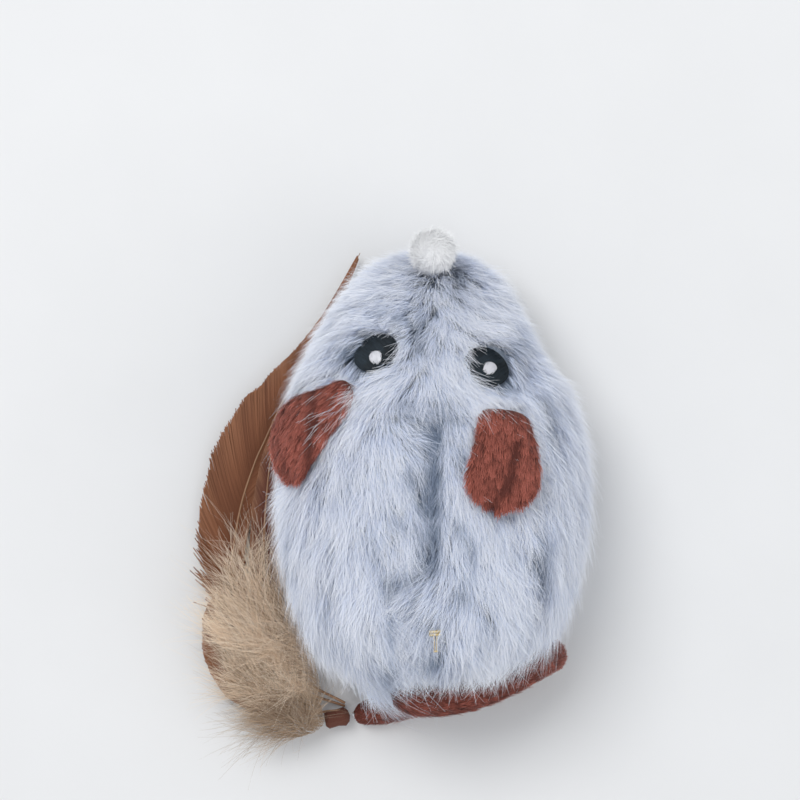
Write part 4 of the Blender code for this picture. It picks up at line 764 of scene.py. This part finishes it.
def pile_skin(name):
    """The body's skin with the comb, length, lift and tone of its pile."""
    mesh = skin_mesh(name, 0.0, 120, 140, hem_level)
    points, normals = mesh_arrays(mesh)
    ways = combed(points, normals)
    turns = np.cross(normals, ways)
    waves = 0.28 * drifting(points, 130, 3.1) + 0.14 * drifting(points, 420, 8.7)
    ways = unit_rows(ways + turns * waves[:, None])
    seen_at = in_picture(points)
    flow = np.stack([-ways[:, 0], ways[:, 1]], 1) / pixel
    place = (points[:, 1] - nose_y) / body_length
    above = normals[:, 2] > 0.1
    trail = soft_spot(seen_at, (366, 676), (17, 22))
    length = interpolated(pile_lengths, place) * (1 + 1.1 * trail)
    to_eye, in_ear = from_eyes(seen_at), under_ears(seen_at)
    whole = length
    for share in (1.0, 0.85, 0.7, 0.55, 0.4, 0.25, 0.12):
        tips = seen_at + flow * (whole * share)[:, None]
        over_ear = above & (in_ear < 0) & (under_ears(tips) > 3)
        over_eye = above & (to_eye > 0.8) & (from_eyes(tips) < 1.0)
        length = np.where(over_ear | over_eye, np.minimum(length, whole * share), length)
    ragged = seen_at + 4.5 * np.stack([drifting(points, 800, 41.0), drifting(points, 800, 57.0)], 1)
    opening_and_shade = np.where(above, opening_and_shade_at(ragged), 0)
    on_the_way = [opening_and_shade_at(seen_at + flow * (length * share)[:, None]) for share in (0.35, 0.6, 0.85)]
    # Where the pile opens, or a strand runs over an opening, the strand is shorter and lies lower, and its tone is
    # lowered as painted shade.
    dark = np.maximum(opening_and_shade * 0.8, np.where(above, np.max(on_the_way, axis=0), 0))
    length = length * (1 - 0.5 * dark)
    tone = np.interp(place, [0.25, 0.45], [1.05, 0.9]) - 0.55 * dark
    tone = tone + 0.08 * drifting(points, 160, 21.0) + 0.08 * drifting(points, 500, 31.0)
    loft = np.minimum(interpolated(pile_depths, place) * 1.45, length * 0.75)
    side = np.clip(1 - normals[:, 2] / 0.6, 0, 1)
    loft = loft * (1 - side * (0.25 + 0.4 * squeezed(seen_at)) * (1 - trail))
    sheltered = np.clip(in_ear / 8, 0, 1) * above
    lift = loft / pile_depths[-1][1] * (1 - 0.6 * dark) * (1 - 0.4 * sheltered) * (1 + 1.9 * trail)
    uphill = from_eyes(seen_at + flow * 2 * mm) < to_eye
    sown = np.where(above & (to_eye < np.where(uphill, 1.1, 0.92)), 0.0, np.interp(place, [0.3, 0.5], [1.35, 1.0]))
    put_all(mesh, comb=ways, length=length, lift=lift, tone=tone, sown=sown, open=opening_and_shade)
    return mesh


def part_of(mesh, keep, name):
    """A copy of a mesh with only the faces whose middle is in the wanted part."""
    copy = mesh.copy()
    copy.name = name
    bm = bmesh.new()
    bm.from_mesh(copy)
    bmesh.ops.delete(bm, geom=[f for f in bm.faces if not keep(f.calc_center_median())], context="FACES")
    bm.to_mesh(copy)
    bm.free()
    return copy


def between(low, high, side):
    def keep(point):
        place = (point.y - nose_y) / body_length
        return low <= place < high and (point.x - body_x) * side >= 0
    return keep


whole_skin = pile_skin("whole_skin")
bands = (
    ("muzzle", -1, 0.2), ("brow", 0.2, 0.36), ("neck", 0.36, 0.5), ("back", 0.5, 0.65),
    ("flank", 0.65, 0.8), ("haunch", 0.8, 0.92), ("rump", 0.92, 2),
)
for number, (band, low, high) in enumerate(bands):
    for hand, side in (("left", 1), ("right", -1)):
        zone = f"pile_{hand}_{band}"
        zone_skin = part_of(whole_skin, between(low, high, side), zone)
        # parting sets how deep the painted shade is where strands pass over an opening.
        fur = grown(
            zone, zone_skin, pile, pale_pile.material, strands_per_area=15e6, lock_spacing=2.2 * mm,
            stray_angle=0.22, lock_stray=0.34, length_spread=0.4, curl=0.26, segments=4, width=0.115 * mm,
            taper=0.8, loft=pile_depths[-1][1], wrap_radius=32 * mm, lock_pull=0.65, roll=0.5,
            tone_spread=0.15, flatness=0.75, parting=0.85, seed=100 + number * 40 + side * 10)
        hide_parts("plush_cover")
        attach(fur, "chassis")

# Stitch
# A small fastener of gold thread holds the parting down over the rump. It is a double bar with a loose loop
# and a knot below it, sewn through the plush.

gold_thread = Finish("gold_thread", 0.35, 0.6)
gold_twist = gold_thread.node("ShaderNodeTexWave", {}, {"Vector": gold_thread.place(), "Scale": 2600.0}, "Fac")
gold_thread.give("Base Color", gold_thread.mixed(gold_twist, (0.55, 0.38, 0.14), (0.90, 0.76, 0.42)))
stitch_level = 48.4 * mm
stitch_fall = 0.13 * mm
stitch_top = 632
stitch_runs = (
    ((429, 632), (441, 631), 0.32), ((429, 635), (441, 634), 0.32), ((434, 636), (434.5, 651), 0.12),
    ((437, 636), (436.5, 651), 0.12), ((433.5, 651.5), (438, 651), 0.22),
)
bm = bmesh.new()
for start, end, radius in stitch_runs:
    ends = [below_picture(px, py, stitch_level - (py - stitch_top) * stitch_fall) for px, py in (start, end)]
    run = Vector(ends[1]) - Vector(ends[0])
    turn = run.to_track_quat("Z", "Y").to_matrix().to_4x4()
    turn.translation = (Vector(ends[0]) + Vector(ends[1])) / 2
    bmesh.ops.create_cone(
        bm, cap_ends=True, segments=10, radius1=radius * mm, radius2=radius * mm, depth=run.length, matrix=turn)
stitch_mesh = bpy.data.meshes.new("gold_stitch")
bm.to_mesh(stitch_mesh)
bm.free()
stitch_mesh.shade_smooth()
stitch = new_object("gold_stitch", stitch_mesh, gold_thread.material)
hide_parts("plush_cover")
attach(stitch, "chassis")

# Embroidered eyes
# Each eye is an oval of black satin stitches over a low pad, sewn through the plush, with a small white centre.
# The thread ends leave a slightly ragged edge, and a few strands of the pile cross it.


def node_copy(node):
    """A merged copy of a CAD node's mesh, which can be reshaped and sown."""
    mesh = nodes[node].data.copy()
    mesh.name = node + "_copy"
    mesh.materials.clear()
    bm = bmesh.new()
    bm.from_mesh(mesh)
    bmesh.ops.remove_doubles(bm, verts=bm.verts, dist=0.002 * mm)
    bmesh.ops.dissolve_limit(bm, angle_limit=math.radians(1), verts=bm.verts, edges=bm.edges)
    bm.to_mesh(mesh)
    bm.free()
    mesh.shade_smooth()
    return mesh


def smoothed(mesh, levels):
    """The mesh after Subdivision Surface, as a plain mesh."""
    holder = bpy.data.objects.new("holder", mesh)
    bpy.context.scene.collection.objects.link(holder)
    rounder = holder.modifiers.new("rounder", "SUBSURF")
    rounder.levels = rounder.render_levels = levels
    bpy.context.view_layer.update()
    made = bpy.data.meshes.new_from_object(holder.evaluated_get(bpy.context.evaluated_depsgraph_get()))
    bpy.data.objects.remove(holder)
    made.shade_smooth()
    return made


def main_axes(points):
    """The middle of a flat piece, and its long, short and thin directions."""
    centre = points.mean(0)
    spread = np.linalg.eigh(np.cov((points - centre).T))[1]
    thin, short, long = spread[:, 0], spread[:, 1], spread[:, 2]
    if thin[2] < 0:
        thin = -thin
    return centre, long, short, thin


def thread_finish(name, dark, pale, gloss):
    finish = Finish(name, gloss, Specular_IOR_Level=0.25)
    tone = finish.node("ShaderNodeUVMap", {"uv_map": "OFBake"}).split()[0]
    finish.give("Base Color", finish.mixed(tone, dark, pale))
    return finish


def pad_finish(name, dark, pale):
    finish = Finish(name, 0.8, Specular_IOR_Level=0.2)
    shade = finish.noise(900, 2, at=finish.place((1, 3, 1)))
    finish.give("Base Color", finish.mixed(shade, dark, pale))
    finish.give("Normal", finish.bumps(shade, 0.1 * mm))
    return finish


black_thread = thread_finish("black_satin_thread", (0.004, 0.007, 0.010), (0.018, 0.030, 0.042), 0.6)
white_thread = thread_finish("white_satin_thread", (0.70, 0.70, 0.74), (0.88, 0.88, 0.92), 0.55)
black_pad = pad_finish("black_pad", (0.004, 0.007, 0.010), (0.010, 0.017, 0.024))
white_pad = pad_finish("white_pad", (0.66, 0.66, 0.70), (0.80, 0.80, 0.84))
eye_layers = (
    ("eye", black_pad, black_thread, 2.25e7, 1.9 * mm, "black_thread"),
    ("pupil", white_pad, white_thread, 4e7, 1.1 * mm, "white_thread"),
)
pupil_shrink = (0.9, 0.82, 1.0)
for hand in ("left", "right"):
    for kind, pad_paint, thread, per_area, stitch_length, slot_name in eye_layers:
        node = f"{hand}_{kind}"
        pad_mesh = smoothed(node_copy(node), 2)
        pad = new_object(node + "_pad", pad_mesh, pad_paint.material)
        points, normals = mesh_arrays(pad_mesh)
        centre, long, short, thin = main_axes(points)
        if kind == "pupil":
            points = centre + (points - centre) * pupil_shrink
            pad_mesh.vertices.foreach_set("co", points.ravel())
        sewn = pad_mesh.copy()
        ways = np.tile(short, (len(points), 1)) - normals * (normals @ short)[:, None]
        faces_out = np.where(normals @ thin > 0.2, 1.0, 0.0)
        put_all(sewn, comb=unit_rows(ways), length=stitch_length, lift=1.0, tone=0.4, sown=faces_out)
        stitches = grown(
            node + "_stitches", sewn, pile, thread.material, strands_per_area=per_area, lock_spacing=3 * mm,
            stray_angle=0.05, length_spread=0.3, curl=0.03, segments=3, width=0.16 * mm, taper=0.5,
            loft=0.08 * mm, wrap_radius=9 * mm, lock_stray=0.0, lock_pull=0.0, roll=0.3,
            tone_spread=0.3, seed=400 + len(node))
        for piece in (pad, stitches):
            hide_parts(node)
            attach(piece, "chassis")

# Nose
# A ball of soft white fibres round a firm core, sewn on at the tip of the muzzle. Its fibres are short and
# stand every way.

fluff_shade, fluff_white = (0.95, 0.955, 0.965), (0.98, 0.98, 0.985)
white_fluff = pile_finish("white_fluff", fluff_shade, fluff_white, (0.99, 0.99, 0.99), (0.96, 0.965, 0.97))
core_share = 0.94
nose_low, nose_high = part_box("nose_pompom")
nose_middle, nose_half = (nose_low + nose_high) / 2, (nose_high - nose_low) / 2
bm = bmesh.new()
bmesh.ops.create_icosphere(bm, subdivisions=4, radius=1)
for vertex in bm.verts:
    vertex.co = nose_middle + Vector([vertex.co[k] * nose_half[k] * core_share for k in range(3)])
ball_mesh = bpy.data.meshes.new("nose_core")
bm.to_mesh(ball_mesh)
bm.free()
ball_mesh.shade_smooth()
core_paint = pad_finish("white_fluff_core", fluff_shade, fluff_white)
nose_core = new_object("nose_core", ball_mesh, core_paint.material)
points, normals = mesh_arrays(ball_mesh)
fluff = ball_mesh.copy()
around = np.cross(normals, (0.3, 0.2, 1.0))
fluff_ways = unit_rows(unit_rows(around) + normals * 0.4)
put_all(fluff, comb=fluff_ways, length=1.6 * mm, lift=1.0, tone=0.8, sown=1.0)
nose_fluff = grown(
    "nose_fluff", fluff, pile, white_fluff.material, strands_per_area=4.5e7, lock_spacing=1.0 * mm,
    stray_angle=0.7, length_spread=0.3, curl=0.35, segments=3, width=0.1 * mm, taper=0.6, loft=0.25 * mm,
    lock_stray=0.3, flatness=0.4, wrap_radius=8 * mm, lock_pull=0.1, roll=0.35, tone_spread=0.1, seed=600)
for piece in (nose_core, nose_fluff):
    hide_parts("nose_pompom")
    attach(piece, "chassis")

# Ears
# Two flaps of russet plush, each doubled and sewn at its root, lying back on the body. The pile is short and dense,
# combed from the root to the rounded edge, and shorter and lower along the crease, where its tone is painted darker as
# shade.


def smooth_route(points, count):
    """Evenly numbered points of a smooth curve through the given ones."""
    points = [Vector(point) for point in points]
    padded = [points[0] * 2 - points[1]] + points + [points[-1] * 2 - points[-2]]
    spans = len(points) - 1
    route = []
    for k in range(count):
        place = k / (count - 1) * spans
        span = min(int(place), spans - 1)
        t = place - span
        a, b, c, d = padded[span:span + 4]
        curve = b * 2 + (c - a) * t + (a * 2 - b * 5 + c * 4 - d) * t * t + (b * 3 - a - c * 3 + d) * t ** 3
        route.append(curve / 2)
    return route


russet_back = pad_finish("russet_cloth", (0.08, 0.022, 0.015), (0.18, 0.05, 0.034))
russet_pile = pile_finish(
    "russet_pile", (0.11, 0.029, 0.021), (0.36, 0.098, 0.068), (0.55, 0.17, 0.125), (0.13, 0.033, 0.024),
    root_end=0.15, tip_start=0.6)
ear_creases = {"left": ((318, 392), (315, 430), (311, 474)), "right": ((517, 440), (506, 482), (488, 508))}
ear_ways = {"left": (-0.35, 0.94), "right": (-0.15, 0.99)}
short_plush = {
    "lock_spacing": 1.6 * mm, "stray_angle": 0.2, "length_spread": 0.3, "curl": 0.1, "taper": 0.75, "lock_stray": 0.1,
}
for number, hand in enumerate(("left", "right")):
    node = f"{hand}_ear"
    ear_mesh = smoothed(node_copy(node), 2)
    ear = new_object(node + "_cloth", ear_mesh, russet_back.material)
    points, normals = mesh_arrays(ear_mesh)
    dx, dy = ear_ways[hand]
    ways = np.tile((-dx, dy, -0.05), (len(points), 1))
    ways = unit_rows(ways - normals * (ways * normals).sum(1, keepdims=True))
    plush = ear_mesh.copy()
    seen_at = in_picture(points)
    crease = np.array(smooth_route([(px, py, 0) for px, py in ear_creases[hand]], 24))[:, :2]
    to_crease = np.sqrt(((seen_at[:, None] - crease[None]) ** 2).sum(2)).min(1)
    # Near the crease the pile is shorter and lies lower, and its tone is painted darker as shade.
    crease_and_shade = np.exp(-(to_crease / 4.5) ** 2)
    # The slow lighter and darker patches in the tone paint the sheen and shade of light on the nap.
    tone = 0.62 - 0.5 * crease_and_shade + 0.14 * drifting(points, 260, 9.0) + 0.05 * drifting(points, 900, 4.0)
    put_all(plush, comb=ways, length=2.2 * mm * (1 - 0.3 * crease_and_shade), lift=1 - 0.8 * crease_and_shade, tone=tone, sown=1.0)
    ear_pile = grown(
        node + "_pile", plush, pile, russet_pile.material, strands_per_area=2.0e7, segments=3, width=0.15 * mm,
        loft=0.45 * mm, wrap_radius=25 * mm, lock_pull=0.3, roll=0.5, tone_spread=0.12, seed=700 + number * 20,
        **short_plush)
    for piece in (ear, ear_pile):
        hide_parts(node)
        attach(piece, f"{hand}_ear_flap")

# Tail
# A tube of the same russet plush over a bent steel wire. It leaves the top of the rump, turns down beside it
# and comes back round behind the body to the tuft.


def along_route(points, route, blend):
    """The way that a route runs near each point, blended over a distance."""
    middles = (route[1:] + route[:-1]) / 2
    weights = np.exp(-((points[:, None, :] - middles[None]) ** 2).sum(2) / (2 * blend ** 2)) + 1e-12
    return weights @ unit_rows(route[1:] - route[:-1])


tail_route = (
    (0.103, 1.012, 0.48), (-0.048, 1.014, 0.491), (-0.273, 0.999, 0.472), (-0.5, 0.968, 0.423),
    (-0.697, 0.933, 0.324), (-0.782, 0.925, 0.185), (-0.764, 0.938, 0.061), (-0.621, 0.968, 0.0),
    (-0.364, 0.993, 0.0), (-0.121, 1.016, 0.0), (0.091, 1.039, 0.0), (0.291, 1.057, 0.0),
    (0.524, 1.072, 0.0),
)
tail_level = 3.8 * mm
tail_points = np.array([
    (body_x + x * body_width / 2, nose_y + y * body_length, tail_level + z * body_height) for x, y, z in tail_route])
tail_mesh = smoothed(node_copy("tail_sleeve"), 1)
tail = new_object("tail_cloth", tail_mesh, russet_back.material)
points, normals = mesh_arrays(tail_mesh)
ways = along_route(points, tail_points, 6 * mm)
ways = unit_rows(ways - normals * (ways * normals).sum(1, keepdims=True))
plush = tail_mesh.copy()
to_end = np.linalg.norm(points - tail_points[-1], axis=1)
sparse = [2.5 * mm, 7 * mm]
put_all(plush, comb=ways, length=np.interp(to_end, sparse, [0.3 * mm, 1.8 * mm]),
        lift=np.interp(to_end, sparse, [0.2, 1.0]), tone=0.45, sown=1.0)
tail_pile = grown(
    "tail_pile", plush, pile, russet_pile.material, strands_per_area=1.4e7, segments=2, width=0.17 * mm,
    loft=0.35 * mm, wrap_radius=20 * mm, lock_pull=0.2, roll=0.6, tone_spread=0.1, seed=800, **short_plush)
for piece in (tail, tail_pile):
    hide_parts("tail_sleeve")
    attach(piece, "chassis")

# Feathers
# Three dyed feathers. Each has a thin quill and, on both sides of it, a vane of fine parallel barbs that curve
# towards the tip. Near the root the barbs are loose and fluffy.


def tube(name, points, radii, sides=8):
    """A round rod of changing size along points, with closed ends."""
    rings, faces = [], []
    side = Vector((0, 0, 1))
    for k, point in enumerate(points):
        ahead = (points[min(k + 1, len(points) - 1)] - points[max(k - 1, 0)]).normalized()
        across = ahead.cross(side)
        across = (across if across.length > 1e-6 else Vector((1, 0, 0))).normalized()
        up = across.cross(ahead)
        for turn in range(sides):
            angle = math.tau * turn / sides
            rings.append(point + (across * math.cos(angle) + up * math.sin(angle)) * radii[k])
    for k in range(len(points) - 1):
        for turn in range(sides):
            after = (turn + 1) % sides
            here, beyond = k * sides, (k + 1) * sides
            faces.append((here + turn, here + after, beyond + after, beyond + turn))
    faces.append(tuple(range(sides))[::-1])
    faces.append(tuple((len(points) - 1) * sides + k for k in range(sides)))
    mesh = new_mesh(name, rings, faces)
    bm = bmesh.new()
    bm.from_mesh(mesh)
    bmesh.ops.recalc_face_normals(bm, faces=bm.faces)
    bm.to_mesh(mesh)
    bm.free()
    mesh.shade_smooth()
    return mesh


barb_inputs = tuple((name if name != "Points" else "Roots", kind) for name, kind in strand_inputs)


def barb_tree():
    """A strand on each vertex of a mesh whose vertices say where and how it lies."""
    graph, given = tree_with("barbs", barb_inputs)
    where = graph.node("GeometryNodeInputPosition")
    points = graph.node("GeometryNodeMeshToPoints", {}, {"Mesh": given["Roots"]})
    points = stored(graph, points, "root", where, "FLOAT_VECTOR")
    links = {"Points": points, **{name: given[name] for name in strand_sizes}}
    made = graph.node("GeometryNodeGroup", {"node_tree": strands}, links)
    graph.node("NodeGroupOutput", {}, {0: made})
    return graph.tree


barbs = barb_tree()


def barb_roots(name, rows):
    """A mesh of loose vertices, each with the strand that grows from it."""
    mesh = bpy.data.meshes.new(name)
    mesh.from_pydata([row["root"] for row in rows], [], [])
    for key in ("up", "ahead", "bend", "lock"):
        put(mesh, key, [row.get(key, (0, 0, 0)) for row in rows])
    for key in ("reach", "rise", "roll", "tone"):
        put(mesh, key, [row.get(key, 0.0) for row in rows])
    return mesh


quill_finish = Finish("quill_horn", 0.35, Specular_IOR_Level=0.5)
quill_shade = quill_finish.noise(160, 2, at=quill_finish.place((1, 0.2, 1)))
quill_finish.give("Base Color", quill_finish.mixed(quill_shade, (0.24, 0.12, 0.06), (0.38, 0.21, 0.11)))
tan_barbs = pile_finish(
    "tan_barbs", (0.15, 0.052, 0.023), (0.23, 0.088, 0.042), (0.31, 0.135, 0.07), (0.085, 0.028, 0.016),
    root_end=0.1, tip_start=0.5)
dark_barbs = pile_finish(
    "red_brown_barbs", (0.10, 0.03, 0.02), (0.17, 0.065, 0.038), (0.26, 0.12, 0.065), (0.06, 0.018, 0.013),
    root_end=0.1, tip_start=0.5)

feathers = (
    {"name": "feather_broad", "level": 2.6 * mm, "paint": tan_barbs, "slot": "feather_tan",
     "spine": ((345, 706), (300, 690), (258, 664), (238, 620), (232, 567), (240, 510), (254, 465), (265, 440),
               (284, 399), (312, 350), (338, 300), (360, 253)),
     "left": ((0.0, 0), (0.20, 3), (0.30, 15), (0.42, 15), (0.55, 14), (0.66, 18), (0.75, 12), (0.85, 6), (1.0, 1)),
     "right": ((0.0, 0), (0.20, 3), (0.30, 30), (0.42, 40), (0.55, 34), (0.66, 26), (0.75, 17), (0.85, 8), (1.0, 1)),
     "count": 1400},
    {"name": "feather_narrow", "level": 4.4 * mm, "paint": dark_barbs, "slot": "feather_dark",
     "spine": ((345, 703), (305, 680), (278, 640), (266, 590), (264, 540), (267, 490), (272, 450), (282, 415)),
     "left": ((0.0, 0), (0.2, 3), (0.35, 18), (0.6, 18), (0.8, 12), (1.0, 1)),
     "right": ((0.0, 0), (0.2, 3), (0.35, 15), (0.6, 14), (0.8, 8), (1.0, 1)), "count": 800},
    {"name": "feather_short", "level": 4.4 * mm, "paint": tan_barbs, "slot": "feather_tan",
     "spine": ((345, 710), (300, 712), (262, 700), (232, 668), (222, 625), (224, 590)),
     "left": ((0.0, 0), (0.2, 3), (0.4, 15), (0.7, 14), (1.0, 2)),
     "right": ((0.0, 0), (0.2, 3), (0.4, 18), (0.7, 18), (1.0, 2)), "count": 440},
)
chances = np.random.default_rng(31)
spine_points = 60
spine_last = spine_points - 1
for feather in feathers:
    level = feather["level"]
    spine = smooth_route([below_picture(px, py, level) for px, py in feather["spine"]], spine_points)
    spine_ks = range(spine_points)
    radii = [np.interp(k / spine_last, [0, 0.25, 0.7, 1], [0.3, 0.32, 0.2, 0.08]) * mm for k in spine_ks]
    quill_name = feather["name"] + "_quill"
    quill = new_object(quill_name, tube(quill_name, spine, radii), quill_finish.material)
    tangents = [(spine[min(k + 1, spine_last)] - spine[max(k - 1, 0)]).normalized() for k in spine_ks]
    rows = []
    for k in range(feather["count"]):
        place = (k + 0.5) / feather["count"]
        exact = place * spine_last
        low = min(int(exact), spine_last - 1)
        root = spine[low].lerp(spine[low + 1], exact - low)
        ahead = tangents[low].lerp(tangents[low + 1], exact - low).normalized()
        across = Vector((-ahead.y, ahead.x, 0))
        loose = max(0.0, 1 - abs(place - 0.2) / 0.14)
        for side, table_name in ((1, "right"), (-1, "left")):
            wide = interpolated(feather[table_name], place) * pixel
            if wide < 1.5 * pixel:
                continue
            way = (ahead + across * side * 0.62 + Vector(chances.normal(0, 0.01 + 0.12 * loose, 3))).normalized()
            reach = wide * 1.7 * (1 + chances.normal(0, 0.012 + 0.2 * loose))
            rows.append({
                "root": tuple(root), "up": (0, 0, 1), "ahead": tuple(way), "reach": reach,
                "bend": tuple(ahead * 0.2 + Vector(chances.normal(0, 0.01 + 0.3 * loose, 3))),
                "rise": reach * (0.03 + 0.03 * chances.random()), "roll": chances.normal(0.2 * side, 0.05),
                "tone": min(max(0.55 + chances.normal(0, 0.07) + 0.08 * math.sin(place * 55), 0), 1),
            })
    roots = barb_roots(feather["name"] + "_roots", rows)
    vane = grown(feather["name"] + "_vane", roots, barbs, feather["paint"].material,
                 segments=5, width=0.5 * mm, taper=0.6, wrap_radius=1.0, lock_pull=0.0)
    for piece in (quill, vane):
        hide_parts(feather["name"])
        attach(piece, "tuft")

# Down
# A loose bunch of cream and tan down, tied in with the quills at the binding. Its long soft fibres curl every
# way, and it is shorter and thinner towards the feathers' tips.

down_fibres = pile_finish(
    "cream_down", (0.42, 0.29, 0.19), (0.86, 0.67, 0.49), (0.97, 0.84, 0.68), (0.24, 0.18, 0.13),
    root_end=0.1, tip_start=0.55)
down_mesh = smoothed(node_copy("down_tuft"), 2)
points, normals = mesh_arrays(down_mesh)
down_spots = ((345, 705), (300, 700), (262, 680), (240, 640), (236, 590), (240, 550))
down_route = np.array([below_picture(px, py, 8 * mm) for px, py in down_spots])
ways = unit_rows(along_route(points, down_route, 10 * mm))
turns = np.cross(normals, ways)
swirl = 0.9 * drifting(points, 110, 12.0)[:, None]
ways = unit_rows(ways * np.cos(swirl) + turns * np.sin(swirl) + normals * 0.3)
py = in_picture(points)[:, 1]
# The fibres stay inside these limits beside and behind the mouse
down_limits = ((0, 45 * mm), (1, 61 * mm))
room = np.min([(limit - points[:, k]) / np.maximum(ways[:, k] + 0.45, 0.2) for k, limit in down_limits], axis=0)
length = np.clip(room / 1.5, 1 * mm, np.interp(py, [520, 600, 730], [9.0, 12.0, 10.0]) * mm)
tone = np.interp(py, [560, 640, 700, 730], [0.75, 0.8, 0.5, 0.25]) + 0.2 * drifting(points, 260, 5.0)
sown = np.where(points[:, 2] > 3 * mm, 1.0, 0.3) * np.interp(py, [540, 590, 640], [0.04, 0.35, 1.0])
put_all(down_mesh, comb=ways, length=length, lift=1.0, tone=tone, sown=sown)
down_fluff = grown(
    "down_fluff", down_mesh, pile, down_fibres.material, strands_per_area=6e6, lock_spacing=4.5 * mm,
    stray_angle=0.45, length_spread=0.5, curl=0.6, segments=7, width=0.085 * mm, taper=0.7, loft=1.1 * mm,
    lock_stray=0.5, flatness=0.6, wrap_radius=60 * mm, lock_pull=0.8, roll=1.0, tone_spread=0.16, seed=900)
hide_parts("down_tuft")
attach(down_fluff, "tuft")

# Hem, shells, wheels and the works
# The hem is woven tape. The shells, gearboxes and gears are moulded, the tyres are soft rubber, and the pins,
# screws, motor cans and the charging socket are steel. All of them keep their solid from the part.


def moulded(name, color, roughness=0.45, grain=0.05 * mm, scale=900):
    finish = Finish(name, roughness, Specular_IOR_Level=0.5)
    fine = finish.noise(scale, 4)
    darker = tuple(c * 0.82 for c in color)
    finish.give("Base Color", finish.mixed(finish.noise(60, 2), darker, color))
    finish.give("Roughness", finish.level(fine, 0.3, 0.7, roughness - 0.08, roughness + 0.1))
    finish.give("Normal", finish.bumps(fine, grain))
    return finish.material


def metal(name, color, roughness, stretch):
    finish = Finish(name, roughness, 1.0)
    lines = finish.noise(700, 3, at=finish.place(stretch))
    darker = tuple(c * 0.8 for c in color)
    finish.give("Base Color", finish.mixed(lines, darker, color))
    finish.give("Roughness", finish.level(lines, 0.3, 0.7, roughness - 0.06, roughness + 0.12))
    finish.give("Normal", finish.bumps(lines, 0.02 * mm))
    return finish.material


def woven(name, dark, pale, pitch):
    finish = Finish(name, 0.9)
    sockets = {"Vector": finish.place(), "Scale": pitch, "Distortion": 0.4}
    warp, weft = [finish.node("ShaderNodeTexWave", {"bands_direction": way}, sockets, "Fac") for way in "XY"]
    cloth = warp * weft
    finish.give("Base Color", finish.mixed(cloth, dark, pale))
    finish.give("Normal", finish.bumps(cloth, 0.1 * mm))
    return finish.material


binding_thread = woven("binding_thread", (0.10, 0.03, 0.02), (0.30, 0.11, 0.06), 1400)
slot_finishes = {
    "hem_tape": woven("hem_weave", (0.05, 0.055, 0.065), (0.17, 0.19, 0.22), 900),
    "shell_plastic": moulded("shell_moulding", (0.10, 0.11, 0.13)),
    "case_plastic": moulded("case_moulding", (0.05, 0.05, 0.055)),
    "gear_plastic": moulded("gear_moulding", (0.72, 0.70, 0.64), 0.35, 0.01 * mm),
    "wheel_plastic": moulded("wheel_moulding", (0.68, 0.68, 0.70), 0.38, 0.02 * mm),
    "rubber": moulded("tyre_rubber", (0.022, 0.022, 0.024), 0.8, 0.08 * mm, 1400),
    "steel": metal("bright_steel", (0.60, 0.61, 0.63), 0.28, (1, 1, 8)),
    "can_steel": metal("plated_can", (0.66, 0.66, 0.67), 0.32, (8, 1, 1)),
    "board_green": moulded("solder_mask", (0.02, 0.13, 0.05), 0.4, 0.02 * mm, 500),
    "chip_black": moulded("chip_resin", (0.02, 0.02, 0.021), 0.5, 0.02 * mm),
    "battery_foil": metal("foil_pouch", (0.55, 0.57, 0.60), 0.4, (1, 4, 1)),
    "lens_clear": moulded("lamp_lens", (0.75, 0.80, 0.78), 0.15, 0.0),
    "white_plush": core_paint.material,
}
node_slots = {item["node"]: item["material_slot"] for item in frame["record"]["subparts"]}
for node, piece in nodes.items():
    finish = binding_thread if node == "tuft_binding" else slot_finishes.get(node_slots.get(node))
    if finish is not None:
        piece.data.materials.clear()
        piece.data.materials.append(finish)
